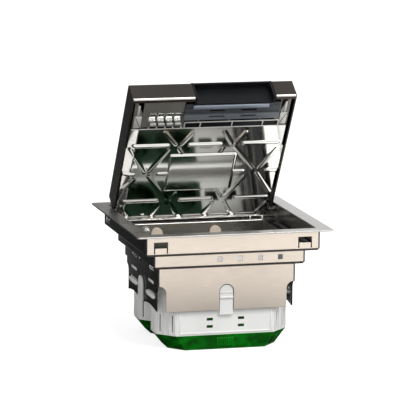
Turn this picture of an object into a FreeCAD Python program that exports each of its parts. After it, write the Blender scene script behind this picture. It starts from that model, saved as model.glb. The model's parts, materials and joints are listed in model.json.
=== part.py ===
import FreeCAD, Part
import os
import re
import Sketcher
from FreeCAD import Placement, Rotation, Vector

# Floor socket box: a square steel frame and stepped casing that drop into a cut-out in a raised
# floor, two device boxes side by side below a deck of 45 mm modules, and a hinged steel lid with a
# cable outlet in its free edge. Millimetres, X to the right, Y to the hinge side, Z up. The origin
# is at the middle of the base. The lid stands at its open working angle.

SIZES = [
    ("flange_thick", 1.5, "thickness of the flange"),
    ("flange_round", 3.0, "corner radius of the flange"),
    ("opening_side", 171.0, "side of the square opening in the flange"),
    ("flange_rim", 14.0, "opening's edge to the flange's edge"),
    ("flange_side", "=opening_side+2*flange_rim", "outer side of the square flange"),
    ("seat_deep", 0.3, "depth of the casing's seat in the underside of the flange"),
    ("total_depth", 123.0, "from the base to the top of the flange"),
    ("sheet_thick", 1.5, "steel sheet of the casing and the lid"),
    ("bend_radius", 1.2, "outer radius of the casing's folds"),
    ("upper_wide", "=opening_side+2*sheet_thick", "width of the front plate in the upper band"),
    ("upper_long", 174.3, "front face to rear face of the upper band"),
    ("upper_drop", 20.8, "flange top to the upper ledge's underside"),
    ("middle_wide", 151.4, "width of the front plate in the middle band"),
    ("middle_long", 149.2, "front face to rear face of the middle band"),
    ("middle_drop", 36.1, "flange top to the middle ledge's underside"),
    ("skirt_wide", 137.6, "width of the front plate in the skirt"),
    ("skirt_long", 128.6, "front face to rear face of the skirt"),
    ("skirt_drop", 83.0, "flange top to the skirt's lower edge"),
    ("tab_pitch", 146.6, "between the two fixing tabs of a plate"),
    ("tab_window_wide", 14.2, "window round a fixing tab"),
    ("tab_window_drop", 8.0, "flange top to the window's upper edge"),
    ("tab_wide", 11.7, "width of a fixing tab"),
    ("tab_high", 6.9, "height of a fixing tab"),
    ("square_hole", 5.0, "side of a square hole in the middle band"),
    ("square_hole_first", -10.2, "place across of the first square hole"),
    ("square_hole_pitch", 20.7, "between square holes"),
    ("square_hole_drop", 29.6, "flange top to the square holes' middle"),
    ("notch_wide", 15.0, "width of the notch in the middle of the skirt"),
    ("notch_drop", 57.0, "flange top to the notch's rounded top"),
    ("corner_notch", 7.0, "width of the notch at each end of the skirt"),
    ("slot_long", 24.0, "length of a side slot"),
    ("slot_high", 3.6, "height of a side slot"),
    ("slot_pitch", 70.0, "between the slots either side of the notch"),
    ("slot_drop", 43.0, "flange top to the upper slots' middle"),
    ("slot_step", 13.6, "from the upper slots to the lower ones"),
    ("window_long", 34.0, "length of the bowed window in a side panel"),
    ("window_high", 8.5, "height of the bowed window"),
    ("window_drop", 66.0, "flange top to the bowed window's upper edge"),
    ("edge_rise", 2.8, "rise of the bowed lower edge of a side panel"),
    ("lug_long", 8.0, "rear lug of a side plate beyond the skirt"),
    ("lug_drop", 50.0, "flange top to the lug's lower edge"),
    ("device_wide", 134.4, "width of a device box"),
    ("device_long", 53.5, "front to back of a device box"),
    ("device_pitch", 68.5, "between the middles of the two device boxes"),
    ("device_wall", 1.8, "wall of a device box"),
    ("device_corner", 17.0, "cut-off corner of a device box"),
    ("device_top_drop", 55.0, "flange top to the device boxes' upper edge"),
    ("device_low_drop", 108.4, "flange top to the device boxes' lower edge"),
    ("key_wide", 13.4, "width of the key that sits in the skirt's notch"),
    ("key_out", 2.6, "how far the key stands out"),
    ("key_gap", 0.8, "clearance of the key under the notch's top"),
    ("key_low_drop", 88.0, "flange top to the key's lower end"),
    ("bead_drop", 67.0, "flange top to the bead round a device box"),
    ("bead_high", 7.0, "height of the bead"),
    ("bead_out", 0.7, "how far the bead stands out"),
    ("vent_wide", 6.5, "width of a vent in a device box"),
    ("vent_high", 3.0, "height of a vent"),
    ("vent_pitch", 32.2, "between the two columns of vents"),
    ("vent_step", 7.4, "between the two rows of vents"),
    ("vent_drop", 92.6, "flange top to the upper vents' middle"),
    ("slit_wide", 1.3, "width of a slit in a cut-off corner"),
    ("slit_shift", 5.0, "slit off the middle of its cut-off corner"),
    ("slit_drop", 88.0, "flange top to the slits' upper end"),
    ("slit_long", 17.0, "length of a slit"),
    ("tray_gap", 0.3, "clearance of the base tray inside a device box"),
    ("tray_wall", 1.6, "wall of a base tray"),
    ("tray_foot_wide", 110.4, "width of the foot of a base tray"),
    ("tray_foot_flat", 81.8, "straight front edge of the foot"),
    ("tray_foot_corner", 15.8, "cut-off corner of the foot, front to back"),
    ("tray_top_drop", 76.5, "flange top to the tray's upper edge"),
    ("rib_count", 8, "ribs on the front of a base tray"),
    ("rib_pitch", 2.2, "between ribs"),
    ("rib_wide", 0.9, "width of a rib"),
    ("rib_out", 0.6, "how far a rib stands out"),
    ("rib_high", 8.0, "height of a rib"),
    ("deck_thick", 2.0, "thickness of a device deck"),
    ("deck_gap", 0.2, "clearance of a deck inside the skirt"),
    ("module_pitch", 45.0, "between modules in a row"),
    ("module_side", 44.6, "side of a module's face"),
    ("module_thick", 3.0, "thickness of a module's face"),
    ("module_round", 2.0, "corner radius of a module's face"),
    ("well_bore", 38.4, "bore of a socket's plug well"),
    ("well_deep", 17.5, "depth of the plug well"),
    ("well_wall", 0.9, "wall round the plug well"),
    ("well_floor", 8.0, "thickness of the insert under the well"),
    ("well_fit", 0.2, "clearance of a well in its deck"),
    ("pin_hole", 5.0, "diameter of a contact hole"),
    ("pin_hole_deep", 6.0, "depth of a contact hole"),
    ("pin_pitch", 19.0, "between the two contact holes"),
    ("clip_wide", 4.0, "width of an earth clip"),
    ("clip_thick", 0.8, "thickness of an earth clip"),
    ("clip_high", 12.0, "height of an earth clip"),
    ("data_wide", 36.0, "width of a data insert behind its face"),
    ("data_long", 16.0, "front to back of a data insert"),
    ("data_deep", 26.0, "depth of a data insert"),
    ("port_wide", 14.2, "width of a data port"),
    ("port_long", 12.0, "front to back of a data port"),
    ("port_deep", 12.0, "depth of a data port"),
    ("port_pitch", 20.0, "between the two data ports"),
    ("seal_wide", 4.6, "width of the lid seal"),
    ("seal_thick", 1.0, "thickness of the lid seal"),
    ("seal_gap", 0.2, "room between the closed lid and its seal"),
    ("divider_high", 16.0, "height of the divider over the decks"),
    ("divider_thick", 1.2, "thickness of the divider"),
    ("earth_bolt", 5.0, "diameter of the earth bolt"),
    ("earth_head", 9.0, "across the earth bolt's nut"),
    ("earth_long", 9.0, "length of the earth bolt"),
    ("earth_across", -48.0, "place across of the earth bolt"),
    ("earth_drop", 27.0, "flange top to the earth bolt"),
    ("bracket_wide", 12.0, "width of a rear retaining lug"),
    ("bracket_high", 11.0, "height of a rear retaining lug"),
    ("bracket_first", -37.0, "place across of the first retaining lug"),
    ("bracket_pitch", 62.0, "between the rear retaining lugs"),
    ("lid_wide", 169.0, "width of the lid"),
    ("lid_thick", 23.75, "thickness of the lid"),
    ("lid_round", 2.2, "radius of the lid's folds"),
    ("lid_open", 57.0, "angle at which the lid stands open"),
    ("lid_reach", 163.0, "hinge axis to the lid's free edge"),
    ("lid_back", 11.8, "hinge axis to the lid's rear wall"),
    ("recess_deep", 4.5, "depth of the recess for the floor covering"),
    ("rim_wide", 2.5, "rim round the recess"),
    ("hinge_back", 79.0, "hinge axis behind the middle of the box"),
    ("hinge_drop", 9.5, "flange top to the hinge axis"),
    ("hinge_bore", 3.2, "bore of a hinge arm"),
    ("hinge_fit", 0.1, "diametral clearance of a hinge pin"),
    ("pin_gap", 0.3, "room between a hinge arm and its collars"),
    ("arm_thick", 1.5, "thickness of a hinge arm"),
    ("arm_round", 4.3, "radius of a hinge arm's end"),
    ("arm_long", 34.0, "length of a hinge arm from its axis"),
    ("collar_round", 3.0, "radius of a hinge pin's collar"),
    ("pin_head_thick", 1.2, "thickness of a hinge pin's head"),
    ("plate_wide", 161.0, "width of the lid's inner plate"),
    ("plate_thick", 1.0, "thickness of the lid's inner plate"),
    ("plate_inset", 2.6, "underside of the lid to the inner plate"),
    ("plate_low", 3.6, "inner plate's lower edge behind the hinge axis"),
    ("header_long", 37.3, "length of the header"),
    ("header_margin", 1.7, "header to the lid's free edge"),
    ("header_low", "=lid_reach-header_long-header_margin", "hinge axis to the header's lower edge"),
    ("header_gap", 0.4, "inner plate to the header"),
    ("plate_long", "=header_low+plate_low-header_gap", "length of the inner plate"),
    ("wing_wide", 165.2, "width of the inner plate across its ears"),
    ("wing_low", 61.0, "hinge axis to the ears' lower end"),
    ("wing_long", 33.6, "length of the ears"),
    ("lattice_middle", 59.4, "hinge axis to the middle of the lattice"),
    ("lattice_border", 60.0, "middle of the lattice to its border ribs"),
    ("lattice_wide", 28.5, "half a diamond of the lattice, across"),
    ("lattice_long", 38.0, "half a diamond of the lattice, along the lid"),
    ("rib_foot", 7.0, "width of a lattice rib at its foot"),
    ("rib_crest", 2.4, "width of a lattice rib at its crest"),
    ("rib_rise", 2.2, "height of a lattice rib"),
    ("panel_wide", 66.0, "width of the lattice's central panel"),
    ("panel_long", 46.0, "length of the lattice's central panel"),
    ("outlet_left", -20.6, "left end of the cable outlet"),
    ("outlet_wide", 83.6, "width of the cable outlet"),
    ("outlet_deep", 9.0, "depth of the cable outlet in the free edge"),
    ("cheek_thick", 2.4, "end cheek of the outlet's housing"),
    ("outlet_back", 1.2, "back wall of the outlet's housing"),
    ("outlet_fit", 0.2, "clearance round the outlet's housing"),
    ("flap_thick", 2.0, "thickness of the flap"),
    ("flap_gap", 0.3, "room round the flap"),
    ("flap_knuckle", 1.15, "radius of the flap's knuckle"),
    ("flap_pin", 1.2, "diameter of the flap's pin"),
    ("rack_left", -29.0, "left end of the outlet's rack"),
    ("rack_margin", 14.5, "rack to the right side of the lid"),
    ("rack_wide", "=lid_wide/2-rack_margin-rack_left", "width of the outlet's rack"),
    ("rack_thick", 1.2, "thickness of the outlet's rack"),
    ("rack_rise", 9.3, "header's lower edge to the rack's lower edge"),
    ("rack_low", "=header_low+rack_rise", "hinge axis to the rack's lower edge"),
    ("rack_long", 20.4, "length of the outlet's rack"),
    ("sill_long", 5.3, "length of the rack's raised sill"),
    ("sill_wide", 83.0, "width of the rack's raised sill"),
    ("step_long", 8.5, "length of the rack's raised step"),
    ("rack_raise", 1.0, "height of the sill and the step"),
    ("rack_slot_wide", 16.4, "width of a slot in the rack"),
    ("rack_slot_long", 2.0, "length of a slot in the rack"),
    ("rack_slot_pitch", 32.6, "between the slots of the rack"),
    ("grille_bar", 1.6, "bar between the windows of the grille"),
    ("comb_left", -65.0, "left end of the cable comb"),
    ("comb_wide", 34.8, "width of the cable comb"),
    ("comb_rise", 1.2, "header's lower edge to the comb's lower edge"),
    ("comb_low", "=header_low+comb_rise", "hinge axis to the comb's lower edge"),
    ("comb_long", 18.0, "length of the cable comb"),
    ("comb_teeth", 4, "teeth in a row of the comb"),
    ("tooth_wide", 6.6, "width of a comb tooth"),
    ("tooth_long", 7.4, "length of a comb tooth"),
    ("gusset_wide", 7.0, "width of a corner gusset"),
    ("gusset_long", 30.0, "length of a corner gusset"),
    ("gusset_inset", 2.4, "lid's side to a corner gusset"),
]

doc = FreeCAD.newDocument("floor_socket_box")
sheet = doc.addObject("Spreadsheet::Sheet", "sizes")
for row, (alias, value, meaning) in enumerate(SIZES, 1):
    sheet.set("A%d" % row, meaning)
    sheet.set("B%d" % row, str(value))
    sheet.setAlias("B%d" % row, alias)
doc.recompute()

ALIAS = re.compile(r"\b(" + "|".join(alias for alias, _, _ in SIZES) + r")\b")
PLANES = {"xy": "XY_Plane", "xz": "XZ_Plane", "yz": "YZ_Plane"}
nodes = []


def bound(text):
    """The text with each size named in it as a reference to the sheet."""
    return ALIAS.sub(r"sizes.\1", str(text))


def number(text):
    """What the text comes to with the sizes as they are."""
    return float(sheet.evalExpression(str(text)))


def bind(thing, **texts):
    for prop, text in texts.items():
        thing.setExpression(prop, bound(text))
    return thing


def place(thing, x=0, y=0, z=0, turn=None):
    """Put a thing at x, y, z, turned about an axis by an angle."""
    if turn:
        axis, angle = turn
        thing.Placement = Placement(Vector(), Rotation(Vector(*axis), number(angle)))
        thing.setExpression("Placement.Rotation.Angle", bound(angle))
    for name, text in (("x", x), ("y", y), ("z", z)):
        thing.setExpression("Placement.Base." + name, bound(text))
    return thing


def finish(thing, name):
    """Name a sub-part's last object, which is what gets exported."""
    thing.Label = name
    nodes.append(thing)
    return thing


# ---- sketches and solid features -------------------------------------------------------------


def add_loop(sketch, loop):
    """One closed outline. A corner is (x, y), or (x, y, cx, cy, turn) where an arc leaves it."""
    count = len(loop)
    spots = [Vector(number(corner[0]), number(corner[1]), 0) for corner in loop]
    ends = []
    for index, corner in enumerate(loop):
        here = spots[index]
        there = spots[(index + 1) % count]
        if len(corner) == 2:
            line = sketch.addGeometry(Part.LineSegment(here, there), False)
            ends.append((line, 1, 2))
            continue
        centre = Vector(number(corner[2]), number(corner[3]), 0)
        circle = Part.Circle(centre, Vector(0, 0, 1), (here - centre).Length)
        first = here if corner[4] > 0 else there
        last = there if corner[4] > 0 else here
        arc = Part.ArcOfCircle(circle, circle.parameter(first), circle.parameter(last))
        curve = sketch.addGeometry(arc, False)
        ends.append((curve, 1, 2) if corner[4] > 0 else (curve, 2, 1))
        across = abs(there.x - here.x) > abs(there.y - here.y)
        kind = "DistanceY" if across else "DistanceX"
        text = corner[3] if across else corner[2]
        rule = Sketcher.Constraint(kind, -1, 1, curve, 3, number(text))
        sketch.setExpression("Constraints[%d]" % sketch.addConstraint(rule), bound(text))
    for index, corner in enumerate(loop):
        before = ends[index - 1]
        after = ends[index]
        sketch.addConstraint(Sketcher.Constraint("Coincident", before[0], before[2], after[0], after[1]))
        for kind, text in (("DistanceX", corner[0]), ("DistanceY", corner[1])):
            rule = Sketcher.Constraint(kind, -1, 1, after[0], after[1], number(text))
            sketch.setExpression("Constraints[%d]" % sketch.addConstraint(rule), bound(text))


def add_ring(sketch, x, y, radius):
    """One circle about x, y."""
    circle = Part.Circle(Vector(number(x), number(y), 0), Vector(0, 0, 1), number(radius))
    ring = sketch.addGeometry(circle, False)
    for kind, text in (("DistanceX", x), ("DistanceY", y)):
        rule = Sketcher.Constraint(kind, -1, 1, ring, 3, number(text))
        sketch.setExpression("Constraints[%d]" % sketch.addConstraint(rule), bound(text))
    rule = Sketcher.Constraint("Radius", ring, number(radius))
    sketch.setExpression("Constraints[%d]" % sketch.addConstraint(rule), bound(radius))


def draw(body, plane, loops=(), rings=(), level="0"):
    """A sketch on one of the body's own planes, raised by level along the plane's normal."""
    sketch = body.newObject("Sketcher::SketchObject", body.Name + "_sketch")
    origin = [part for part in body.Origin.OriginFeatures if part.Role == PLANES[plane]][0]
    sketch.AttachmentSupport = [(origin, "")]
    sketch.MapMode = "FlatFace"
    sketch.setExpression("AttachmentOffset.Base.z", bound(level))
    for loop in loops:
        add_loop(sketch, loop)
    for ring in rings:
        add_ring(sketch, *ring)
    return sketch


def pad(body, sketch, length, both=False, back=False):
    feature = body.newObject("PartDesign::Pad", body.Name + "_pad")
    feature.Profile = sketch
    feature.Midplane = both
    feature.Reversed = back
    return bind(feature, Length=length)


def pocket(body, sketch, length=None, back=False):
    """Cut the sketch out, by a length against its normal, or right through both ways."""
    feature = body.newObject("PartDesign::Pocket", body.Name + "_pocket")
    feature.Profile = sketch
    feature.Reversed = back
    if length is None:
        feature.Type = "ThroughAll"
        feature.Midplane = True
        return feature
    return bind(feature, Length=length)


def rectangle(low_x, low_y, high_x, high_y):
    return [(low_x, low_y), (high_x, low_y), (high_x, high_y), (low_x, high_y)]


def centred(wide, high, x="0", y="0"):
    """A rectangle about x, y."""
    return rectangle(f"{x}-{wide}/2", f"{y}-{high}/2", f"{x}+{wide}/2", f"{y}+{high}/2")


def rounded_slot(long, high, x, y):
    """A slot with round ends, along the sketch's x."""
    left = f"{x}-({long}-{high})/2"
    right = f"{x}+({long}-{high})/2"
    low = f"{y}-{high}/2"
    top = f"{y}+{high}/2"
    return [(left, low), (right, low, right, y, 1), (right, top), (left, top, left, y, 1)]


def upright_edges(shape, axis):
    """Names of the straight edges that run along an axis."""
    names = []
    for index, edge in enumerate(shape.Edges, 1):
        if isinstance(edge.Curve, Part.Line):
            if abs(abs(edge.Curve.Direction.dot(axis)) - 1) < 1e-6:
                names.append("Edge%d" % index)
    return names


def round_edges(body, base, radius, axis, wanted=None):
    """Fillet the edges of a feature that run along an axis, all or those that wanted picks."""
    doc.recompute()
    names = upright_edges(base.Shape, axis)
    if wanted:
        names = [name for name in names if wanted(base.Shape.getElement(name).CenterOfMass)]
    feature = body.newObject("PartDesign::Fillet", body.Name + "_fillet")
    feature.Base = (base, names)
    return bind(feature, Radius=radius)


def block(wide, long, high, x, y, z):
    """A box with its lowest corner at x, y, z."""
    box = bind(doc.addObject("Part::Box", "block"), Length=wide, Width=long, Height=high)
    return place(box, x, y, z)


def rod(radius, length, x, y, z, axis="z"):
    """A cylinder that starts at x, y, z and runs along an axis."""
    turns = {"x": ((0, 1, 0), 90), "y": ((-1, 0, 0), 90), "z": None}
    cylinder = bind(doc.addObject("Part::Cylinder", "rod"), Radius=radius, Height=length)
    return place(cylinder, x, y, z, turns[axis])


def join(*shapes):
    if len(shapes) == 1:
        return shapes[0]
    feature = doc.addObject("Part::MultiFuse", "join")
    feature.Shapes = list(shapes)
    feature.Refine = True
    return feature


def cut(base, *tools):
    feature = doc.addObject("Part::Cut", "cut")
    feature.Base = base
    feature.Tool = join(*tools)
    feature.Refine = True
    return feature


def gather(*shapes):
    """Separate solids that share one node."""
    feature = doc.addObject("Part::Compound", "group")
    feature.Links = list(shapes)
    return feature


UP = Vector(0, 0, 1)
ALONG_X = Vector(1, 0, 0)
ALONG_Y = Vector(0, 1, 0)


def below(drop):
    """A height given by its drop from the top of the flange."""
    return f"(total_depth-({drop}))"


# ---- frame and casing --------------------------------------------------------------------------

FLANGE_UNDER = below("flange_thick")
CASING_TOP = f"({FLANGE_UNDER}+seat_deep)"


def make_flange():
    body = doc.addObject("PartDesign::Body", "flange")
    outline = [centred("flange_side", "flange_side"), centred("opening_side", "opening_side")]
    ring = pad(body, draw(body, "xy", outline, level=FLANGE_UNDER), "flange_thick")
    round_edges(body, ring, "flange_round", UP)
    seat = centred("(upper_wide+2*sheet_thick)", "upper_long")
    pocket(body, draw(body, "xy", [seat], level=CASING_TOP), "seat_deep")
    finish(body, "flange_frame")


def stepped(sign, upper, middle, skirt):
    """Section of a folded plate with two ledges; its outer faces stand at upper, middle and skirt."""
    first = below("upper_drop")
    second = below("middle_drop")
    end = below("skirt_drop")
    corners = [
        (upper, CASING_TOP), (upper, first), (middle, first), (middle, second), (skirt, second),
        (skirt, end), (f"{skirt}-sheet_thick", end), (f"{skirt}-sheet_thick", f"{second}+sheet_thick"),
        (f"{middle}-sheet_thick", f"{second}+sheet_thick"),
        (f"{middle}-sheet_thick", f"{first}+sheet_thick"),
        (f"{upper}-sheet_thick", f"{first}+sheet_thick"), (f"{upper}-sheet_thick", CASING_TOP),
    ]
    return [(f"{sign}({out})", height) for out, height in corners]


def fold(body, strip, axis):
    """Round the eight folds of a stepped plate, not its upper and lower edges."""
    low = number(below("skirt_drop")) + 1
    top = number(FLANGE_UNDER) - 1
    round_edges(body, strip, "bend_radius", axis, lambda centre: low < centre.z < top)


def band_trim(sign, middle, skirt, beyond, lug=None):
    """What is cut off one end of a stepped plate, so that each band gets its own width."""
    first = below("upper_drop")
    second = below("middle_drop")
    corners = [(middle, first), (beyond, first), (beyond, "0"), (skirt, "0")]
    if lug:
        third = below("lug_drop")
        corners += [(skirt, third), (f"{skirt}+{lug}", third), (f"{skirt}+{lug}", second)]
    else:
        corners.append((skirt, second))
    corners.append((middle, second))
    return [(f"{sign}({out})", height) for out, height in corners]


def centre_notch():
    """Round-topped notch in the middle of the skirt."""
    side = "notch_wide/2"
    spring = below("notch_drop+notch_wide/2")
    low = below("skirt_drop+sheet_thick")
    return [(f"-{side}", low), (side, low), (side, spring, "0", spring, 1), (f"-{side}", spring)]


def corner_notch(sign, edge):
    """Quarter-round notch that takes the end off the skirt."""
    inner = f"{sign}({edge}-corner_notch)"
    outer = f"{sign}({edge})"
    past = f"{sign}({edge}+sheet_thick)"
    top = below("notch_drop")
    spring = below("notch_drop+corner_notch")
    low = below("skirt_drop+sheet_thick")
    turn = -1 if sign == "" else 1
    return [(inner, low), (inner, spring, outer, spring, turn), (outer, top), (past, top), (past, low)]


def tab_window(sign):
    """Window round a fixing tab that rises from the upper ledge."""
    low = below("upper_drop-sheet_thick")
    top = below("tab_window_drop")
    tab_top = below("upper_drop-tab_high")
    places = [("-tab_window_wide/2", low), ("-tab_window_wide/2", top), ("+tab_window_wide/2", top),
              ("+tab_window_wide/2", low), ("+tab_wide/2", low), ("+tab_wide/2", tab_top),
              ("-tab_wide/2", tab_top), ("-tab_wide/2", low)]
    return [(f"{sign}tab_pitch/2{off}", height) for off, height in places]


def make_end_plate(name, turn, holes):
    """Front or rear plate of the casing; its ledges close the corners."""
    body = doc.addObject("PartDesign::Body", name)
    section = stepped("-", "upper_long/2", "middle_long/2", "skirt_long/2")
    strip = pad(body, draw(body, "yz", [section]), "upper_wide", both=True)
    fold(body, strip, ALONG_X)
    trims = [band_trim(sign, "middle_wide/2", "skirt_wide/2", "upper_wide") for sign in ("", "-")]
    pocket(body, draw(body, "xz", trims))
    openings = [tab_window(""), tab_window("-"), centre_notch()]
    openings += [corner_notch(sign, "skirt_wide/2") for sign in ("", "-")]
    for index in range(holes):
        across = f"(square_hole_first+{index}*square_hole_pitch)"
        openings.append(centred("square_hole", "square_hole", across, below("square_hole_drop")))
    pocket(body, draw(body, "xz", openings))
    finish(place(body, turn=((0, 0, 1), turn)), name)


def side_panel(sign):
    """Two slots, a bowed window and the bowed lower edge of one half of a side plate's skirt."""
    middle = f"{sign}slot_pitch/2"
    upper_slot = below("slot_drop")
    lower_slot = below("slot_drop+slot_step")
    top = below("window_drop")
    bow = f"{top}+((window_long/2)^2-window_high^2)/(2*window_high)"
    window = [(f"{middle}-window_long/2", top), (f"{middle}+window_long/2", top, middle, bow, -1)]
    near = "notch_wide/2"
    far = "(skirt_long/2-corner_notch)"
    run = f"({far}-{near})"
    centre = f"{sign}({near}+{far})/2"
    low = below("skirt_drop")
    past = below("skirt_drop+sheet_thick")
    under = f"{low}+edge_rise-(({run}/2)^2+edge_rise^2)/(2*edge_rise)"
    edge = [(f"{centre}-{run}/2", past), (f"{centre}+{run}/2", past),
            (f"{centre}+{run}/2", low, centre, under, 1), (f"{centre}-{run}/2", low)]
    return [rounded_slot("slot_long", "slot_high", middle, upper_slot),
            rounded_slot("slot_long", "slot_high", middle, lower_slot), window, edge]


def make_side_plate(name, turn, rear):
    """Left or right plate of the casing, outside the ends of the front and rear plates."""
    body = doc.addObject("PartDesign::Body", name)
    section = stepped("", "upper_wide/2+sheet_thick", "middle_wide/2+sheet_thick",
                      "skirt_wide/2+sheet_thick")
    strip = pad(body, draw(body, "xz", [section]), "upper_long", both=True)
    fold(body, strip, ALONG_Y)
    trims = []
    for sign in ("", "-"):
        lug = "lug_long" if sign == rear else None
        trims.append(band_trim(sign, "middle_long/2", "skirt_long/2", "upper_long", lug))
    pocket(body, draw(body, "yz", trims))
    ledges = [("upper_drop", "middle_long/2-sheet_thick", "upper_wide/2", "(upper_wide-middle_wide)/2"),
              ("middle_drop", "skirt_long/2-sheet_thick", "middle_wide/2", "(middle_wide-skirt_wide)/2")]
    for drop, clear, face, deep in ledges:
        low = below(drop)
        high = f"{low}+sheet_thick+bend_radius"
        ends = [rectangle(clear, low, "upper_long", high), rectangle("-upper_long", low, f"-({clear})", high)]
        pocket(body, draw(body, "yz", ends, level=face), deep)
    openings = [centre_notch()]
    for sign in ("", "-"):
        openings.append(corner_notch(sign, "skirt_long/2"))
        openings += side_panel(sign)
    pocket(body, draw(body, "yz", openings))
    finish(place(body, turn=((0, 0, 1), turn)), name)


def make_seal():
    """Rubber strip on the upper ledge, along the front and both sides."""
    body = doc.addObject("PartDesign::Body", "seal")
    out_x = "(upper_wide/2-bend_radius-deck_gap)"
    out_y = "(upper_long/2-sheet_thick-bend_radius-deck_gap)"
    in_x = f"({out_x}-seal_wide)"
    in_y = f"({out_y}-seal_wide)"
    back = "(middle_long/2-2*lid_back)"
    strip = [(f"-{out_x}", f"-{out_y}"), (out_x, f"-{out_y}"), (out_x, back), (in_x, back),
             (in_x, f"-{in_y}"), (f"-{in_x}", f"-{in_y}"), (f"-{in_x}", back), (f"-{out_x}", back)]
    pad(body, draw(body, "xy", [strip], level=below("upper_drop-sheet_thick")), "seal_thick")
    finish(body, "frame_seal")


def make_rear_lugs():
    """Round-topped lugs that stand on the middle ledge against the rear plate."""
    lugs = []
    for index in range(2):
        body = doc.addObject("PartDesign::Body", "lug")
        across = f"(bracket_first+{index}*bracket_pitch)"
        spring = f"{below('middle_drop-sheet_thick')}+bracket_high-bracket_wide/2"
        low = f"{below('middle_drop-sheet_thick')}"
        left = f"{across}-bracket_wide/2"
        right = f"{across}+bracket_wide/2"
        arch = [(left, low), (right, low), (right, spring, across, spring, 1), (left, spring)]
        level = "-(middle_long/2-sheet_thick-bend_radius-deck_gap)"
        pad(body, draw(body, "xz", [arch], level=level), "sheet_thick")
        lugs.append(body)
    finish(gather(*lugs), "rear_lugs")


def make_earth_bolt():
    """Brass earth bolt and its nut on the inside of the rear plate."""
    face = "(middle_long/2-sheet_thick)"
    height = below("earth_drop")
    shank = rod("earth_bolt/2", "earth_long", "earth_across", f"{face}-earth_long", height, "y")
    nut = bind(doc.addObject("Part::Prism", "nut"), Circumradius="earth_head/2", Height="earth_bolt")
    place(nut, "earth_across", f"{face}-earth_bolt", height, ((-1, 0, 0), 90))
    finish(join(shank, nut), "earth_bolt")


# ---- device boxes, trays, decks and modules --------------------------------------------------------


def eight(x_out, x_in, y_out, y_in):
    """Outline of a rectangle with its corners cut off."""
    return [(f"-({x_in})", f"-({y_out})"), (x_in, f"-({y_out})"), (x_out, f"-({y_in})"), (x_out, y_in),
            (x_in, y_out), (f"-({x_in})", y_out), (f"-({x_out})", y_in), (f"-({x_out})", f"-({y_in})")]


def device_outline(inset):
    """Plan of a device box, set in all round; the cut-off corners stay parallel."""
    corner = f"(device_corner-({inset})*(2-sqrt(2)))"
    x_out = f"(device_wide/2-({inset}))"
    y_out = f"(device_long/2-({inset}))"
    return eight(x_out, f"{x_out}-{corner}", y_out, f"{y_out}-{corner}")


def corner_slit(side_x, side_y, shift):
    """A slit across a cut-off corner, square to it."""
    x = f"{side_x}*(device_wide/2-device_corner/2+({shift}))"
    y = f"{side_y}*(device_long/2-device_corner/2-({shift}))"
    reach = "device_wall*2"
    half = "slit_wide/2/sqrt(2)"
    corners = []
    for out, along in ((1, 1), (1, -1), (-1, -1), (-1, 1)):
        corners.append((f"{x}+{side_x}*({out}*{reach}+{along}*{half})",
                        f"{y}+{side_y}*({out}*{reach}-{along}*{half})"))
    return corners


def make_device_box(name, turn):
    """Open-ended white box; the tray closes it below and the deck above."""
    body = doc.addObject("PartDesign::Body", name)
    low = below("device_low_drop")
    high = "device_low_drop-device_top_drop"
    wall = [device_outline("0"), device_outline("device_wall")]
    pad(body, draw(body, "xy", wall, level=low), high)
    bead = [device_outline("-bead_out"), device_outline("device_wall/2")]
    pad(body, draw(body, "xy", bead, level=below("bead_drop+bead_high")), "bead_high")
    spring = below("notch_drop+notch_wide/2")
    key_low = below("key_low_drop")
    key = [("-key_wide/2", key_low), ("key_wide/2", key_low),
           ("key_wide/2", spring, "0", spring, 1), ("-key_wide/2", spring)]
    pad(body, draw(body, "xz", [key], level="device_long/2-device_wall/2"), "key_out+device_wall/2")
    vents = []
    for side in (-1, 1):
        for row in (0, 1):
            height = below(f"vent_drop+{row}*vent_step")
            vents.append(centred("vent_wide", "vent_high", f"{side}*vent_pitch/2", height))
    pocket(body, draw(body, "xz", vents))
    slits = [corner_slit(side_x, side_y, f"{side}*slit_shift")
             for side_x in (-1, 1) for side_y in (-1, 1) for side in (-1, 1)]
    pocket(body, draw(body, "xy", slits, level=below("slit_drop")), "slit_long")
    place_device(body, turn)
    finish(body, name)


def place_device(body, turn):
    """Put something that belongs to a device box in the front (0) or the rear (180)."""
    side = "-" if turn == 0 else ""
    place(body, y=f"{side}device_pitch/2", turn=((0, 0, 1), turn))


def make_tray(name, turn):
    """Green tray: a sleeve inside the device box and a foot that tapers below it."""
    body = doc.addObject("PartDesign::Body", name)
    brim = below("device_low_drop")
    foot = eight("tray_foot_wide/2", "tray_foot_flat/2", "device_long/2", "device_long/2-tray_foot_corner")
    loft = body.newObject("PartDesign::AdditiveLoft", name + "_loft")
    loft.Profile = draw(body, "xy", [foot])
    loft.Sections = [draw(body, "xy", [device_outline("0")], level=brim)]
    loft.Ruled = True
    inset = "(device_wall+tray_gap)"
    sleeve = [device_outline(inset), device_outline(f"{inset}+tray_wall")]
    pad(body, draw(body, "xy", sleeve, level=brim), "device_low_drop-tray_top_drop")
    hollow = eight("tray_foot_wide/2-2*tray_wall", "tray_foot_flat/2-tray_wall", "device_long/2-tray_wall-"
                   + inset, "device_long/2-tray_foot_corner-tray_wall")
    pocket(body, draw(body, "xy", [hollow], level=brim), f"{brim}-tray_wall")
    middle = f"({brim})/2"
    start = "-(rib_count-1)*rib_pitch/2"
    rib = draw(body, "xz", [centred("rib_wide", "rib_high", start, middle)], level="device_long/2")
    ridge = pad(body, rib, "rib_out")
    ribs = body.newObject("PartDesign::LinearPattern", name + "_ribs")
    ribs.Originals = [ridge]
    ribs.Direction = (rib, ["H_Axis"])
    bind(ribs, Length="(rib_count-1)*rib_pitch", Occurrences="rib_count")
    body.Tip = ribs
    place_device(body, turn)
    finish(body, name)


WELL_OUT = "(well_bore/2+well_wall)"
DECK_LOW = below("device_top_drop")
DECK_TOP = f"{DECK_LOW}+deck_thick"


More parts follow.
